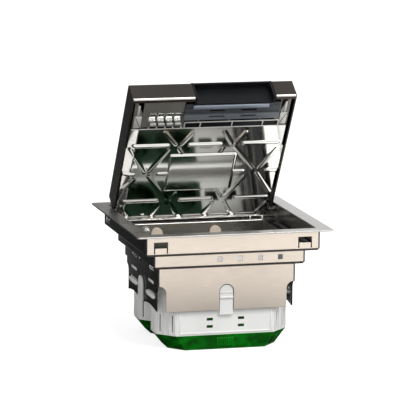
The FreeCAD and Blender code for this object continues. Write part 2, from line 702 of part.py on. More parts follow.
def make_deck(name, side):
    """White deck over a device box, with round holes for the sockets and one for the data insert."""
    body = doc.addObject("PartDesign::Body", name)
    half = "(skirt_wide/2-deck_gap)"
    near = "(divider_thick/2+deck_gap)"
    far = "(skirt_long/2-sheet_thick-deck_gap)"
    low = f"-{far}" if side == "-" else near
    high = f"-{near}" if side == "-" else far
    y = f"{side}device_pitch/2"
    plate = [rectangle(f"-{half}", low, half, high)]
    plate.append(centred("(data_wide+2*well_fit)", "(data_long+2*well_fit)", "module_pitch", y))
    holes = [(x, y, f"{WELL_OUT}+well_fit") for x in ("-module_pitch", "0")]
    pad(body, draw(body, "xy", plate, holes, level=DECK_LOW), "deck_thick")
    finish(body, name)


def module_face(body):
    """Square face of a module, with its underside at height 0."""
    face = pad(body, draw(body, "xy", [centred("module_side", "module_side")]), "module_thick")
    round_edges(body, face, "module_round", UP)


def make_socket(name, x, side):
    """Green earthed socket with a round plug well and two contact holes."""
    body = doc.addObject("PartDesign::Body", name)
    module_face(body)
    insert = draw(body, "xy", rings=[("0", "0", WELL_OUT)])
    pad(body, insert, "well_deep-module_thick+well_floor", back=True)
    well = draw(body, "xy", rings=[("0", "0", "well_bore/2")], level="module_thick")
    pocket(body, well, "well_deep")
    contacts = [(f"{sign}pin_pitch/2", "0", "pin_hole/2") for sign in ("-", "")]
    floor = "module_thick-well_deep"
    pocket(body, draw(body, "xy", rings=contacts, level=floor), "pin_hole_deep")
    finish(place(body, x, f"{side}device_pitch/2", DECK_TOP), name)


def make_data_module(name, side):
    """Dark data module with two ports."""
    body = doc.addObject("PartDesign::Body", name)
    module_face(body)
    pad(body, draw(body, "xy", [centred("data_wide", "data_long")]), "data_deep", back=True)
    ports = [centred("port_wide", "port_long", f"{sign}port_pitch/2") for sign in ("-", "")]
    pocket(body, draw(body, "xy", ports, level="module_thick"), "port_deep")
    finish(place(body, "module_pitch", f"{side}device_pitch/2", DECK_TOP), name)


def make_earth_clips():
    """A pair of spring clips at the front and back of each plug well."""
    clips = []
    floor = f"{DECK_TOP}+module_thick-well_deep"
    reach = "(well_bore/2-well_fit)"
    for side in ("-", ""):
        for x in ("-module_pitch", "0"):
            middle = f"{side}device_pitch/2"
            for start in (f"{middle}-{reach}", f"{middle}+{reach}-clip_thick"):
                clips.append(block("clip_wide", "clip_thick", "clip_high", f"{x}-clip_wide/2", start, floor))
    finish(gather(*clips), "earth_clips")


def make_divider():
    """Steel plate between the two device boxes."""
    wide = "skirt_wide-2*deck_gap"
    low = below("skirt_drop")
    top = f"({DECK_TOP}+divider_high)"
    plate = block(wide, "divider_thick", f"{top}-{low}", f"-({wide})/2", "-divider_thick/2", low)
    finish(plate, "centre_divider")


# ---- lid, in its own frame: hinge axis at the origin, lid lying closed ------------------------------

LID_UNDER = "(hinge_drop-(upper_drop-sheet_thick)+seal_thick+seal_gap)"
ARM_FACE = "(lid_wide/2-sheet_thick)"


def on_lid(thing):
    """Swing a piece from the lid's closed frame to its open place."""
    return place(thing, "0", "hinge_back", below("hinge_drop"), ((-1, 0, 0), "lid_open"))


def depth(rise):
    """A height in the lid, given by its rise over the lid's underside."""
    return f"({LID_UNDER}+({rise}))"


def make_lid_shell():
    """Folded steel tray with a recess on top and an inturned lip at the free edge."""
    body = doc.addObject("PartDesign::Body", "shell")
    outline = rectangle("-lid_wide/2", "-lid_reach", "lid_wide/2", "-lid_back")
    slab = pad(body, draw(body, "xy", [outline], level=LID_UNDER), "lid_thick")
    free = -number("lid_reach") + 1
    round_edges(body, slab, "lid_round", ALONG_X, lambda centre: centre.y < free)
    roof = depth("lid_thick-recess_deep-sheet_thick")
    floor = depth("sheet_thick")
    room = rectangle("-(lid_reach-sheet_thick)", floor, "-(lid_back+sheet_thick)", roof)
    inside = pocket(body, draw(body, "yz", [room]))
    inside.Type = "Length"
    bind(inside, Length="lid_wide-2*sheet_thick")
    under = rectangle(f"-{ARM_FACE}", "-(lid_reach-3*sheet_thick)", ARM_FACE, "-(lid_back+sheet_thick)")
    pocket(body, draw(body, "xy", [under], level=floor), "2*sheet_thick")
    recess = rectangle("-(lid_wide/2-rim_wide)", "-(lid_reach-rim_wide)", "lid_wide/2-rim_wide",
                       "-(lid_back+rim_wide)")
    pocket(body, draw(body, "xy", [recess], level=depth("lid_thick")), "recess_deep")
    gate = rectangle("outlet_left", "-(lid_reach+1)", "outlet_left+outlet_wide", "-(lid_reach-outlet_deep)")
    pocket(body, draw(body, "xy", [gate]))
    back = rectangle(f"-{ARM_FACE}", "-(lid_back+2*sheet_thick)", ARM_FACE, "0")
    clear = "plate_inset+plate_thick+pin_gap"
    pocket(body, draw(body, "xy", [back], level=depth(clear)), f"{clear}+sheet_thick")
    slots = []
    for sign in ("", "-"):
        inner = f"{sign}({ARM_FACE}-arm_thick-pin_gap)"
        outer = f"{sign}({ARM_FACE})"
        slots.append([(inner, "-(lid_back+2*sheet_thick)"), (outer, "-(lid_back+2*sheet_thick)"),
                      (outer, "0"), (inner, "0")])
    pocket(body, draw(body, "xy", slots, level="arm_round+2*pin_gap"), "lid_thick")
    finish(on_lid(body), "lid_shell")


def diagonal(start, low, high, lean):
    """A lattice rib's foot between two heights along the lid; start is where it meets the middle."""
    slope = f"({lean}*lattice_wide/lattice_long)"
    half = "(rib_foot/2*sqrt(1+(lattice_wide/lattice_long)^2))"
    corners = []
    for height, side in ((low, -1), (low, 1), (high, 1), (high, -1)):
        corners.append((f"{start}+{slope}*({height})+{side}*{half}", f"-lattice_middle-({height})"))
    return corners


def make_inner_plate():
    """Bright pressed plate: a diamond lattice of raised ribs round a central panel."""
    body = doc.addObject("PartDesign::Body", "plate")
    sheet_low = depth("plate_inset")
    outline = rectangle("-plate_wide/2", "plate_low-plate_long", "plate_wide/2", "plate_low")
    pad(body, draw(body, "xy", [outline], level=sheet_low), "plate_thick")
    ears = rectangle("-wing_wide/2", "-(wing_low+wing_long)", "wing_wide/2", "-wing_low")
    pad(body, draw(body, "xy", [ears], level=sheet_low), "plate_thick")
    panel_edge = "panel_long/2"
    border = "lattice_border"
    families = []
    for lean in (1, -1):
        family = []
        for start in ("-4*lattice_wide", "-2*lattice_wide", "2*lattice_wide", "4*lattice_wide"):
            family.append(diagonal(start, f"-{border}", border, lean))
        family.append(diagonal("0", f"-{border}", f"-{panel_edge}", lean))
        family.append(diagonal("0", panel_edge, border, lean))
        families.append(family)
    rows = []
    for place_y in ("-lattice_border", "-lattice_long", "lattice_long", "lattice_border"):
        rows.append(centred("plate_wide", "rib_foot", "0", f"(-lattice_middle-({place_y}))"))
    for sign in ("-", ""):
        reach = "(plate_wide/2-panel_wide/2)"
        rows.append(centred(reach, "rib_foot", f"{sign}(panel_wide/2+{reach}/2)", "-lattice_middle"))
    families.append(rows)
    frame = [centred("(panel_wide+rib_foot)", "(panel_long+rib_foot)", "0", "-lattice_middle"),
             centred("(panel_wide-rib_foot)", "(panel_long-rib_foot)", "0", "-lattice_middle")]
    families.append(frame)
    for family in families:
        ribs = pad(body, draw(body, "xy", family, level=sheet_low), "rib_rise", back=True)
        bind(ribs, TaperAngle="-atan((rib_foot-rib_crest)/(2*rib_rise))")
    past = "(lid_wide+8*lattice_wide)"
    waste = [centred(past, past, "0", "-lattice_middle"), outline]
    pocket(body, draw(body, "xy", waste, level=sheet_low), "lid_thick")
    finish(on_lid(body), "lid_inner_plate")


def make_arm(name, sign):
    """Flat hinge arm inside the lid's side wall, with a round end on the hinge pin."""
    body = doc.addObject("PartDesign::Body", name)
    wide_low = depth("2*plate_inset")
    wide_top = depth("lid_thick-recess_deep-sheet_thick-pin_gap")
    start = "-(lid_back+3*sheet_thick)"
    outline = [("0", "-arm_round", "0", "0", 1), ("0", "arm_round"), (start, "arm_round"),
               ("-arm_long", wide_top), ("-arm_long", wide_low), (start, "-arm_round")]
    level = f"{ARM_FACE}-arm_thick" if sign == "" else f"-({ARM_FACE})"
    pad(body, draw(body, "yz", [outline], [("0", "0", "hinge_bore/2")], level), "arm_thick")
    finish(on_lid(body), name)


def make_pin(name, turn):
    """Hinge pin riveted to a side plate: collar, shank and head turned in one piece."""
    body = doc.addObject("PartDesign::Body", name)
    wall = "upper_wide/2"
    collar = f"{ARM_FACE}+pin_gap"
    head = f"{ARM_FACE}-arm_thick-pin_gap"
    end = f"{head}-pin_head_thick"
    shank = "(hinge_bore-hinge_fit)/2"
    profile = [(wall, "0"), (wall, "collar_round"), (collar, "collar_round"), (collar, shank),
               (head, shank), (head, "collar_round"), (end, "collar_round"), (end, "0")]
    turned = body.newObject("PartDesign::Revolution", name + "_turned")
    turned.Profile = draw(body, "xz", [profile])
    turned.ReferenceAxis = (turned.Profile[0], ["H_Axis"])
    turned.Angle = 360
    place(body, "0", "hinge_back", below("hinge_drop"), ((0, 0, 1), turn))
    finish(body, name)


def make_header_plates():
    """Header plates at the lid's free edge, left and right of the cable outlet."""
    low = "-(header_low+header_long)"
    high = "-header_low"
    level = depth("plate_inset")
    body = doc.addObject("PartDesign::Body", "header_left")
    comb = rectangle("comb_left", "-(comb_low+comb_long)", "comb_left+comb_wide", "-comb_low")
    left = "-(plate_wide/2)"
    window = rectangle(f"{left}+gusset_inset", "-(header_low+gusset_inset+gusset_long)",
                       f"{left}+gusset_inset+gusset_wide", "-(header_low+gusset_inset)")
    plate = rectangle(left, low, "rack_left-outlet_fit", high)
    pad(body, draw(body, "xy", [plate, comb, window], level=level), "plate_thick")
    finish(on_lid(body), "header_plate_left")
    body = doc.addObject("PartDesign::Body", "header_right")
    right = "(plate_wide/2)"
    window = rectangle(f"{right}-gusset_inset-gusset_wide", "-(header_low+gusset_inset+gusset_long)",
                       f"{right}-gusset_inset", "-(header_low+gusset_inset)")
    plate = rectangle("rack_left+rack_wide+outlet_fit", low, right, high)
    pad(body, draw(body, "xy", [plate, window], level=level), "plate_thick")
    finish(on_lid(body), "header_plate_right")


def make_gussets():
    """Three-cornered gussets that stand in the windows of the header plates."""
    gussets = []
    for sign in ("-", ""):
        body = doc.addObject("PartDesign::Body", "gusset")
        edge = "(plate_wide/2-gusset_inset-well_fit)"
        inner = f"({edge}-gusset_wide+2*well_fit)"
        low = "-(header_low+gusset_inset+well_fit)"
        high = f"({low}-gusset_long+2*well_fit)"
        corners = [(f"{sign}{edge}", low), (f"{sign}{inner}", f"({low}+{high})/2"), (f"{sign}{edge}", high)]
        pad(body, draw(body, "xy", [corners], level=depth("plate_inset")), "plate_thick*4")
        gussets.append(body)
    finish(on_lid(gather(*gussets)), "header_gussets")


def make_rack():
    """Rack inside the cable outlet: a slotted plate with a raised step and a raised sill."""
    body = doc.addObject("PartDesign::Body", "rack")
    level = depth("plate_inset-rack_thick")
    high = "-(rack_low+rack_long)"
    plate = rectangle("rack_left", high, "rack_left+rack_wide", "-rack_low")
    pad(body, draw(body, "xy", [plate], level=level), "rack_thick")
    middle = "(outlet_left+outlet_wide/2)"
    sill = [(f"{middle}-sill_wide/2", f"{high}+sill_long"), (f"{middle}+sill_wide/2", f"{high}+sill_long"),
            (f"{middle}+sill_wide/2-sill_long/2", high), (f"{middle}-sill_wide/2+sill_long/2", high)]
    step = rectangle("rack_left", "-(rack_low+step_long)", "rack_left+rack_wide", "-rack_low")
    pad(body, draw(body, "xy", [sill, step], level=level), "rack_raise", back=True)
    slots = []
    for row in ("-(rack_low+step_long/2)", f"({high}+sill_long+2*rack_slot_long)"):
        for sign in ("-", "+"):
            slots.append(centred("rack_slot_wide", "rack_slot_long", f"({middle}{sign}rack_slot_pitch/2)", row))
    pocket(body, draw(body, "xy", slots))
    finish(on_lid(body), "outlet_rack")


def make_grille():
    """Strip with four windows between the inner plate and the rack."""
    body = doc.addObject("PartDesign::Body", "grille")
    strip = rectangle("rack_left", "-(rack_low-outlet_fit)", "rack_left+rack_wide", "-header_low")
    windows = []
    bay = "((rack_wide-2*grille_bar)/6)"
    left = "rack_left+grille_bar"
    for start, count in ((0, 1), (1, 2), (3, 2), (5, 1)):
        windows.append(rectangle(f"{left}+{start}*{bay}", f"-(rack_low-outlet_fit-grille_bar)",
                                 f"{left}+{start + count}*{bay}-grille_bar", "-(header_low+grille_bar)"))
    pad(body, draw(body, "xy", [strip] + windows, level=depth("plate_inset")), "plate_thick")
    finish(on_lid(body), "outlet_grille")


def make_comb():
    """Cable comb: two rows of sloping teeth on a base behind the header plate's window."""
    body = doc.addObject("PartDesign::Body", "comb")
    base = rectangle("comb_left-plate_thick", "-(comb_low+comb_long+plate_thick)",
                     "comb_left+comb_wide+plate_thick", "-(comb_low-plate_thick)")
    pad(body, draw(body, "xy", [base], level=depth("plate_inset+plate_thick")), "plate_thick")
    pitch = "(comb_wide/comb_teeth)"
    for row in (0, 1):
        low = f"(-comb_low-{row}*comb_long/2-comb_long/4)"
        foot = depth("plate_inset+plate_thick")
        tooth = [(f"{low}-tooth_long/2", foot), (f"{low}+tooth_long/2", foot),
                 (f"{low}-tooth_long/2", depth("plate_inset-rack_raise"))]
        start = f"comb_left+{pitch}/2-tooth_wide/2"
        feature = pad(body, draw(body, "yz", [tooth], level=start), "tooth_wide")
        teeth = body.newObject("PartDesign::LinearPattern", "teeth")
        teeth.Originals = [feature]
        axis = [part for part in body.Origin.OriginFeatures if part.Role == "X_Axis"][0]
        teeth.Direction = (axis, [""])
        bind(teeth, Length=f"comb_wide-{pitch}", Occurrences="comb_teeth")
        body.Tip = teeth
    finish(on_lid(body), "cable_comb")


FLAP_Y = "(outlet_deep-lid_reach-outlet_fit-outlet_back-flap_gap-flap_knuckle)"
FLAP_Z = depth("lid_thick-outlet_fit-flap_thick/2")


def make_outlet():
    """Black housing that lines the outlet: a back wall between two end cheeks."""
    left = "(outlet_left+outlet_fit)"
    wide = "(outlet_wide-2*outlet_fit)"
    front = "(-lid_reach+outlet_fit)"
    deep = "(outlet_deep-2*outlet_fit)"
    high = "(lid_thick-2*outlet_fit)"
    low = depth("outlet_fit")
    body = block(wide, deep, high, left, front, low)
    room = block(f"{wide}-2*cheek_thick", deep, "2*lid_thick", f"{left}+cheek_thick",
                 f"{front}-outlet_back", depth("-lid_thick/2"))
    bore = rod("(flap_pin+hinge_fit)/2", wide, left, FLAP_Y, FLAP_Z, "x")
    finish(on_lid(cut(body, room, bore)), "outlet_housing")


def make_flap():
    """Flap flush with the lid's top that lifts about a pin at the outlet's inner edge."""
    span = "(outlet_wide-2*outlet_fit-2*cheek_thick-2*flap_gap)"
    left = "(outlet_left+outlet_fit+cheek_thick+flap_gap)"
    front = "(-lid_reach+outlet_fit+flap_gap)"
    leaf = block(span, f"{FLAP_Y}-{front}", "flap_thick", left, front, f"{FLAP_Z}-flap_thick/2")
    knuckle = rod("flap_knuckle", span, left, FLAP_Y, FLAP_Z, "x")
    bore = rod("flap_pin/2", span, left, FLAP_Y, FLAP_Z, "x")
    finish(on_lid(cut(join(leaf, knuckle), bore)), "outlet_flap")
    pin = rod("flap_pin/2", "outlet_wide-2*outlet_fit", "outlet_left+outlet_fit", FLAP_Y, FLAP_Z, "x")
    finish(on_lid(gather(pin)), "flap_pin")


make_flange()
make_end_plate("casing_front", 0, 4)
make_end_plate("casing_rear", 180, 0)
make_side_plate("casing_right", 0, "")
make_side_plate("casing_left", 180, "-")
make_seal()
make_rear_lugs()
make_earth_bolt()
make_device_box("device_box_front", 0)
make_device_box("device_box_rear", 180)
make_tray("base_tray_front", 0)
make_tray("base_tray_rear", 180)
make_deck("device_deck_front", "-")
make_deck("device_deck_rear", "")
make_socket("socket_front_left", "-module_pitch", "-")
make_socket("socket_front_middle", "0", "-")
make_socket("socket_rear_left", "-module_pitch", "")
make_socket("socket_rear_middle", "0", "")
make_data_module("data_module_front", "-")
make_data_module("data_module_rear", "")
make_earth_clips()
make_divider()
make_lid_shell()
make_inner_plate()
make_arm("hinge_arm_right", "")
make_arm("hinge_arm_left", "-")
make_pin("hinge_pin_right", 0)
make_pin("hinge_pin_left", 180)
make_header_plates()
make_gussets()
make_rack()
make_grille()
make_comb()
make_outlet()
make_flap()
doc.recompute()

for thing in doc.Objects:
    if {"Invalid", "Error"} & set(thing.State):
        raise RuntimeError("%s (%s) failed: %s" % (thing.Label, thing.Name, thing.State))
for node in nodes:
    if node.Shape.isNull() or not node.Shape.isValid() or not node.Shape.Solids:
        raise RuntimeError("%s has no valid solid" % node.Label)

os.makedirs("parts", exist_ok=True)
for node in nodes:
    node.Shape.exportStep("parts/%s.step" % node.Label)
    extent = node.Shape.BoundBox
    print("%-22s %2d solid(s) %10.1f mm3  x %7.1f %7.1f  y %7.1f %7.1f  z %7.1f %7.1f" % (
        node.Label, len(node.Shape.Solids), node.Shape.Volume, extent.XMin, extent.XMax,
        extent.YMin, extent.YMax, extent.ZMin, extent.ZMax))
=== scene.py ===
"""Floor socket box with its lid open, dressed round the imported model."""
import json
import math

import bpy
from mathutils import Matrix, Vector


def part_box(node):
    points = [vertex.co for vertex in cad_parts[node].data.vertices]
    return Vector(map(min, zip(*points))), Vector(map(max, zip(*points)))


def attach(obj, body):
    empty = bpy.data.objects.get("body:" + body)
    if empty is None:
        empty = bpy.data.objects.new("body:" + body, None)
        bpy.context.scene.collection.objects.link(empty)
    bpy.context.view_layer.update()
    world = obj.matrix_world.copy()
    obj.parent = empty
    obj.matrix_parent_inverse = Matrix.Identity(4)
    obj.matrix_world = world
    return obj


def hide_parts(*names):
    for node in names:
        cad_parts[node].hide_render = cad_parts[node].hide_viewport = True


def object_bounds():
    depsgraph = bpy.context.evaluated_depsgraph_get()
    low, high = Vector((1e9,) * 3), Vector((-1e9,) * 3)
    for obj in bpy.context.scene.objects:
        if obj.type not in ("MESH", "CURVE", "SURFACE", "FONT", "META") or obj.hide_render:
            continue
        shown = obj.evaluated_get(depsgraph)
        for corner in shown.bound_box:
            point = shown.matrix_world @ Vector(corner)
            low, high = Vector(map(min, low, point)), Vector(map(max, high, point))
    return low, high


bl_info = {
    "name": "Floor Socket Box",
    "version": (1, 0, 0),
    "blender": (4, 5, 0),
    "location": "View3D > Sidebar > Floor Box",
    "description": "Models the finishes and small fittings of a floor socket box",
    "category": "Object",
}

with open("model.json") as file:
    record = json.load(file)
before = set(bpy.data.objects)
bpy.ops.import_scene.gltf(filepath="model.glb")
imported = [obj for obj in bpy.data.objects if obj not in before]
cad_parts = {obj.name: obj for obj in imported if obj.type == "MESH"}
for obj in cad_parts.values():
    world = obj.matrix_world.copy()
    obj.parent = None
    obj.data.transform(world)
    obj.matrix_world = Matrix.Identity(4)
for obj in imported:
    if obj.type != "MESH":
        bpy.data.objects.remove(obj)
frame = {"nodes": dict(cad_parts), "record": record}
CAD_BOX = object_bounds()
NODES = frame["nodes"]
MM = 0.001
HINGE = frame["record"]["behaviour"]["joints"][0]["pos_m"]
LID_OPEN = math.radians(57.0)
# How far the inner plate's reflections are turned about X.
PRESS_TILT = math.radians(4.6)
# Folds of the rack as (distance from the hinge in millimetres, colour from there on); each fold's colour is
# painted light or shade for the way it faces.
RACK_FOLD_SHADES = ((133.0, (0.15, 0.17, 0.19)), (140.8, (0.042, 0.049, 0.057)), (147.6, (0.02, 0.023, 0.027)))
# The lid's own frame: X as the box has it, -Y away from the hinge and Z out of the lid's top.
LID = Matrix.Translation(HINGE) @ Matrix.Rotation(-LID_OPEN, 4, "X")
BASE = Matrix.Identity(4)


# ---------------------------------------------------------------- sizes and colours

class BoxColours(bpy.types.PropertyGroup):
    """Colours of the box's finishes, as linear values."""

    # The warm tint is a painted reflection of a warm room on the satin steel.
    casing: bpy.props.FloatVectorProperty(
        name="Casing", description="Satin steel of the casing's plates, with a painted warm reflection", subtype="COLOR",
        default=(0.70, 0.618, 0.533))
    # The sides' near-black is painted shade on the casing's own steel.
    side: bpy.props.FloatVectorProperty(
        name="Casing sides", description="Polished steel of the casing's sides, painted darker as shade", subtype="COLOR",
        default=(0.03, 0.03, 0.03))
    flange: bpy.props.FloatVectorProperty(
        name="Flange", description="Satin steel of the flange", subtype="COLOR", default=(0.47, 0.455, 0.44))
    lid: bpy.props.FloatVectorProperty(
        name="Lid", description="Dark satin steel of the lid", subtype="COLOR", default=(0.054, 0.048, 0.044))
    plate: bpy.props.FloatVectorProperty(
        name="Inner plate", description="Polished steel of the lid's inner plate", subtype="COLOR",
        default=(0.72, 0.72, 0.695))
    plastic: bpy.props.FloatVectorProperty(
        name="Device boxes", description="White moulded plastic", subtype="COLOR",
        default=(0.73, 0.73, 0.715))
    green: bpy.props.FloatVectorProperty(
        name="Trays", description="Deep green of the base trays", subtype="COLOR",
        default=(0.0, 0.125, 0.002))
    module: bpy.props.FloatVectorProperty(
        name="Modules", description="Green of the socket modules", subtype="COLOR",
        default=(0.0015, 0.019, 0.005))
    black: bpy.props.FloatVectorProperty(
        name="Outlet", description="Black moulding of the cable outlet", subtype="COLOR",
        default=(0.004, 0.0045, 0.0055))


class BoxStage(bpy.types.PropertyGroup):
    """Placing of the camera and strength of the studio lights."""

    azimuth: bpy.props.FloatProperty(
        name="Azimuth", description="Camera's turn towards the left of the box", subtype="ANGLE",
        default=math.radians(15.38))
    elevation: bpy.props.FloatProperty(
        name="Elevation", description="Camera's height above the horizon", subtype="ANGLE",
        default=math.radians(10.24))
    roll: bpy.props.FloatProperty(
        name="Roll", description="Camera's turn about its own axis", subtype="ANGLE",
        default=math.radians(0.56))
    distance: bpy.props.FloatProperty(
        name="Distance", description="Camera to the middle of the box", unit="LENGTH", default=3.03715)
    lens: bpy.props.FloatProperty(name="Lens", description="Focal length in millimetres", default=258.7)
    key: bpy.props.FloatProperty(
        name="Key light", description="Power of the key light in watts", default=31.0)
    sky: bpy.props.FloatProperty(
        name="Room light", description="Strength of the even room light", default=0.62)


# ---------------------------------------------------------------- materials

def new_material(name, colour, rough, metal=0.0, **numbers):
    """A material with one Principled shader; plain numbers go straight on its sockets."""
    mat = bpy.data.materials.new(name)
    mat.use_nodes = True
    shader = mat.node_tree.nodes["Principled BSDF"]
    shader.inputs["Base Color"].default_value = (*colour, 1.0)
    shader.inputs["Roughness"].default_value = rough
    shader.inputs["Metallic"].default_value = metal
    for socket, value in numbers.items():
        shader.inputs[socket.replace("_", " ")].default_value = value
    return mat


def parts_of(mat):
    """The material's nodes, links and shader."""
    tree = mat.node_tree
    return tree.nodes, tree.links, tree.nodes["Principled BSDF"]


def math_node(nodes, links, operation, first, second):
    """A Math node fed by sockets or numbers."""
    node = nodes.new("ShaderNodeMath")
    node.operation = operation
    for socket, value in zip(node.inputs, (first, second)):
        if isinstance(value, (int, float)):
            socket.default_value = value
        else:
            links.new(value, socket)
    return node.outputs[0]


def ramp_node(nodes, links, source, low, high, low_value=0.0, high_value=1.0):
    """A Map Range node that takes low..high to low_value..high_value."""
    node = nodes.new("ShaderNodeMapRange")
    node.inputs["From Min"].default_value = low
    node.inputs["From Max"].default_value = high
    node.inputs["To Min"].default_value = low_value
    node.inputs["To Max"].default_value = high_value
    links.new(source, node.inputs["Value"])
    return node.outputs[0]


def noise_node(nodes, links, scale, stretch=(1.0, 1.0, 1.0), detail=4.0):
    """Noise over the object's own coordinates, drawn out along its axes."""
    place = nodes.new("ShaderNodeTexCoord")
    mapping = nodes.new("ShaderNodeMapping")
    mapping.inputs["Scale"].default_value = stretch
    links.new(place.outputs["Object"], mapping.inputs["Vector"])
    noise = nodes.new("ShaderNodeTexNoise")
    noise.inputs["Scale"].default_value = scale
    noise.inputs["Detail"].default_value = detail
    links.new(mapping.outputs["Vector"], noise.inputs["Vector"])
    return noise.outputs["Fac"]


def mix_colour(nodes, links, factor, first, second):
    """A colour mix between two plain colours or sockets."""
    mix = nodes.new("ShaderNodeMix")
    mix.data_type = "RGBA"
    links.new(factor, mix.inputs["Factor"])
    for socket, value in ((mix.inputs[6], first), (mix.inputs[7], second)):
        if isinstance(value, tuple):
            socket.default_value = (*value, 1.0)
        else:
            links.new(value, socket)
    return mix.outputs[2]


def seen_directly(nodes, links):
    """1 for camera, glossy and transmission rays, and 0 for the rest."""
    ray = nodes.new("ShaderNodeLightPath")
    seen = math_node(nodes, links, "MAXIMUM", ray.outputs["Is Camera Ray"], ray.outputs["Is Glossy Ray"])
    return math_node(nodes, links, "MAXIMUM", seen, ray.outputs["Is Transmission Ray"])


def soft_edges(mat, radius, height_source=None, strength=0.1, distance=0.0002):
    """Rounds the look of sharp edges and adds a bump; returns the edge mask, used for wear and for painted
    edge highlights.
    """
    nodes, links, shader = parts_of(mat)
    bevel = nodes.new("ShaderNodeBevel")
    bevel.samples = 6
    bevel.inputs["Radius"].default_value = radius
    normal = bevel.outputs["Normal"]
    if height_source is not None:
        bump = nodes.new("ShaderNodeBump")
        bump.inputs["Strength"].default_value = strength
        bump.inputs["Distance"].default_value = distance
        links.new(height_source, bump.inputs["Height"])
        links.new(normal, bump.inputs["Normal"])
        normal = bump.outputs["Normal"]
    links.new(normal, shader.inputs["Normal"])
    true_normal = nodes.new("ShaderNodeNewGeometry")
    dot = nodes.new("ShaderNodeVectorMath")
    dot.operation = "DOT_PRODUCT"
    links.new(bevel.outputs["Normal"], dot.inputs[0])
    links.new(true_normal.outputs["Normal"], dot.inputs[1])
    return ramp_node(nodes, links, dot.outputs["Value"], 0.995, 0.86)


def tinted(colour, factor):
    """The colour made lighter or darker."""
    return tuple(min(1.0, channel * factor) for channel in colour)


def sheet_finish(name, colour, rough=0.3, grain=(1.0, 1.0, 0.04), metal=1.0, bump=0.12, wear_and_highlight=1.25,
                 edge=0.0005):
    """Satin sheet steel: fine grain along one way, cloudy tone, and edges lightened partly for wear and
    partly as a painted highlight.
    """
    mat = new_material(name, colour, rough, metal)
    nodes, links, shader = parts_of(mat)
    lines = noise_node(nodes, links, 1400.0, grain, 3.0)
    clouds = noise_node(nodes, links, 16.0, (1.0, 1.0, 1.0), 4.0)
    edge_wear_and_highlight = soft_edges(mat, edge, lines, bump, 0.00005)
    cloudy = ramp_node(nodes, links, clouds, 0.3, 0.7)
    tone = mix_colour(nodes, links, cloudy, tinted(colour, 0.93), tinted(colour, 1.05))
    lined = ramp_node(nodes, links, lines, 0.35, 0.65, 0.0, 0.25)
    streak = mix_colour(nodes, links, lined, tone, tinted(colour, 0.82))
    # Lighter edges: partly wear, partly a painted highlight.
    links.new(mix_colour(nodes, links, edge_wear_and_highlight, streak, tinted(colour, wear_and_highlight)), shader.inputs["Base Color"])
    spread = math_node(nodes, links, "ADD", ramp_node(nodes, links, clouds, 0.3, 0.7, -0.05, 0.06),
                       ramp_node(nodes, links, lines, 0.3, 0.7, rough - 0.04, rough + 0.05))
    links.new(spread, shader.inputs["Roughness"])
    return mat


def moulding_finish(name, colour, rough=0.35, bump=0.08, edge=0.0006, speck=0.9, **numbers):
    """Moulded plastic: fine spark-eroded skin, slight tone changes and softened edges."""
    mat = new_material(name, colour, rough, 0.0, **numbers)
    nodes, links, shader = parts_of(mat)
    skin = noise_node(nodes, links, 2600.0, (1.0, 1.0, 1.0), 2.0)
    clouds = noise_node(nodes, links, 28.0, (1.0, 1.0, 0.6), 3.0)
    edge_wear_and_highlight = soft_edges(mat, edge, skin, bump, 0.00005)
    cloudy = ramp_node(nodes, links, clouds, 0.3, 0.7)
    tone = mix_colour(nodes, links, cloudy, tinted(colour, speck), tinted(colour, 1.03))
    # Lighter edges: partly wear, partly a painted highlight.
    links.new(mix_colour(nodes, links, edge_wear_and_highlight, tone, tinted(colour, 1.12)), shader.inputs["Base Color"])
    spread = ramp_node(nodes, links, clouds, 0.25, 0.75, rough - 0.05, rough + 0.08)
    links.new(spread, shader.inputs["Roughness"])
    return mat


def mirror_finish(name, colour):
    """Mirror-polished plate: faint clouds, fine wipe marks and normals turned by a fixed angle."""
    mat = new_material(name, colour, 0.09, 1.0)
    nodes, links, shader = parts_of(mat)
    marks = noise_node(nodes, links, 900.0, (0.03, 1.0, 1.0), 3.0)
    clouds = noise_node(nodes, links, 22.0, (1.0, 1.0, 1.0), 3.0)
    links.new(ramp_node(nodes, links, clouds, 0.3, 0.75, 0.06, 0.12), shader.inputs["Roughness"])
    wiped = ramp_node(nodes, links, marks, 0.4, 0.8, 0.0, 0.3)
    tone = mix_colour(nodes, links, wiped, colour, tinted(colour, 0.86))
    links.new(tone, shader.inputs["Base Color"])
    surface = nodes.new("ShaderNodeNewGeometry")
    turn = nodes.new("ShaderNodeVectorRotate")
    turn.rotation_type = "X_AXIS"
    turn.inputs["Angle"].default_value = -PRESS_TILT
    links.new(surface.outputs["Normal"], turn.inputs["Vector"])
    bump = nodes.new("ShaderNodeBump")
    bump.inputs["Strength"].default_value = 0.02
    bump.inputs["Distance"].default_value = 0.0001
    links.new(clouds, bump.inputs["Height"])
    links.new(turn.outputs["Vector"], bump.inputs["Normal"])
    links.new(bump.outputs["Normal"], shader.inputs["Normal"])
    return mat


def side_finish(name, colour, inner_left_lit, inner_right_shaded):
    """Side plates: polished outside painted near-black as shade, and one plain tone inside each plate: a
    painted lit tone inside the left plate and painted shade inside the right one.
    """
    mat = sheet_finish(name, colour, 0.2, bump=0.02, wear_and_highlight=1.6)
    nodes, links, shader = parts_of(mat)
    outer = shader.inputs["Base Color"].links[0].from_socket
    surface = nodes.new("ShaderNodeNewGeometry")
    facing = nodes.new("ShaderNodeSeparateXYZ")
    place = nodes.new("ShaderNodeSeparateXYZ")
    links.new(surface.outputs["Normal"], facing.inputs[0])
    links.new(surface.outputs["Position"], place.inputs[0])
    inward = math_node(nodes, links, "MULTIPLY", facing.outputs["X"], place.outputs["X"])
    mask = ramp_node(nodes, links, inward, -0.03, -0.05)
    half = ramp_node(nodes, links, place.outputs["X"], -0.01, 0.01)
    inner = mix_colour(nodes, links, half, inner_left_lit, inner_right_shaded)
    links.new(mix_colour(nodes, links, mask, outer, inner), shader.inputs["Base Color"])
    return mat


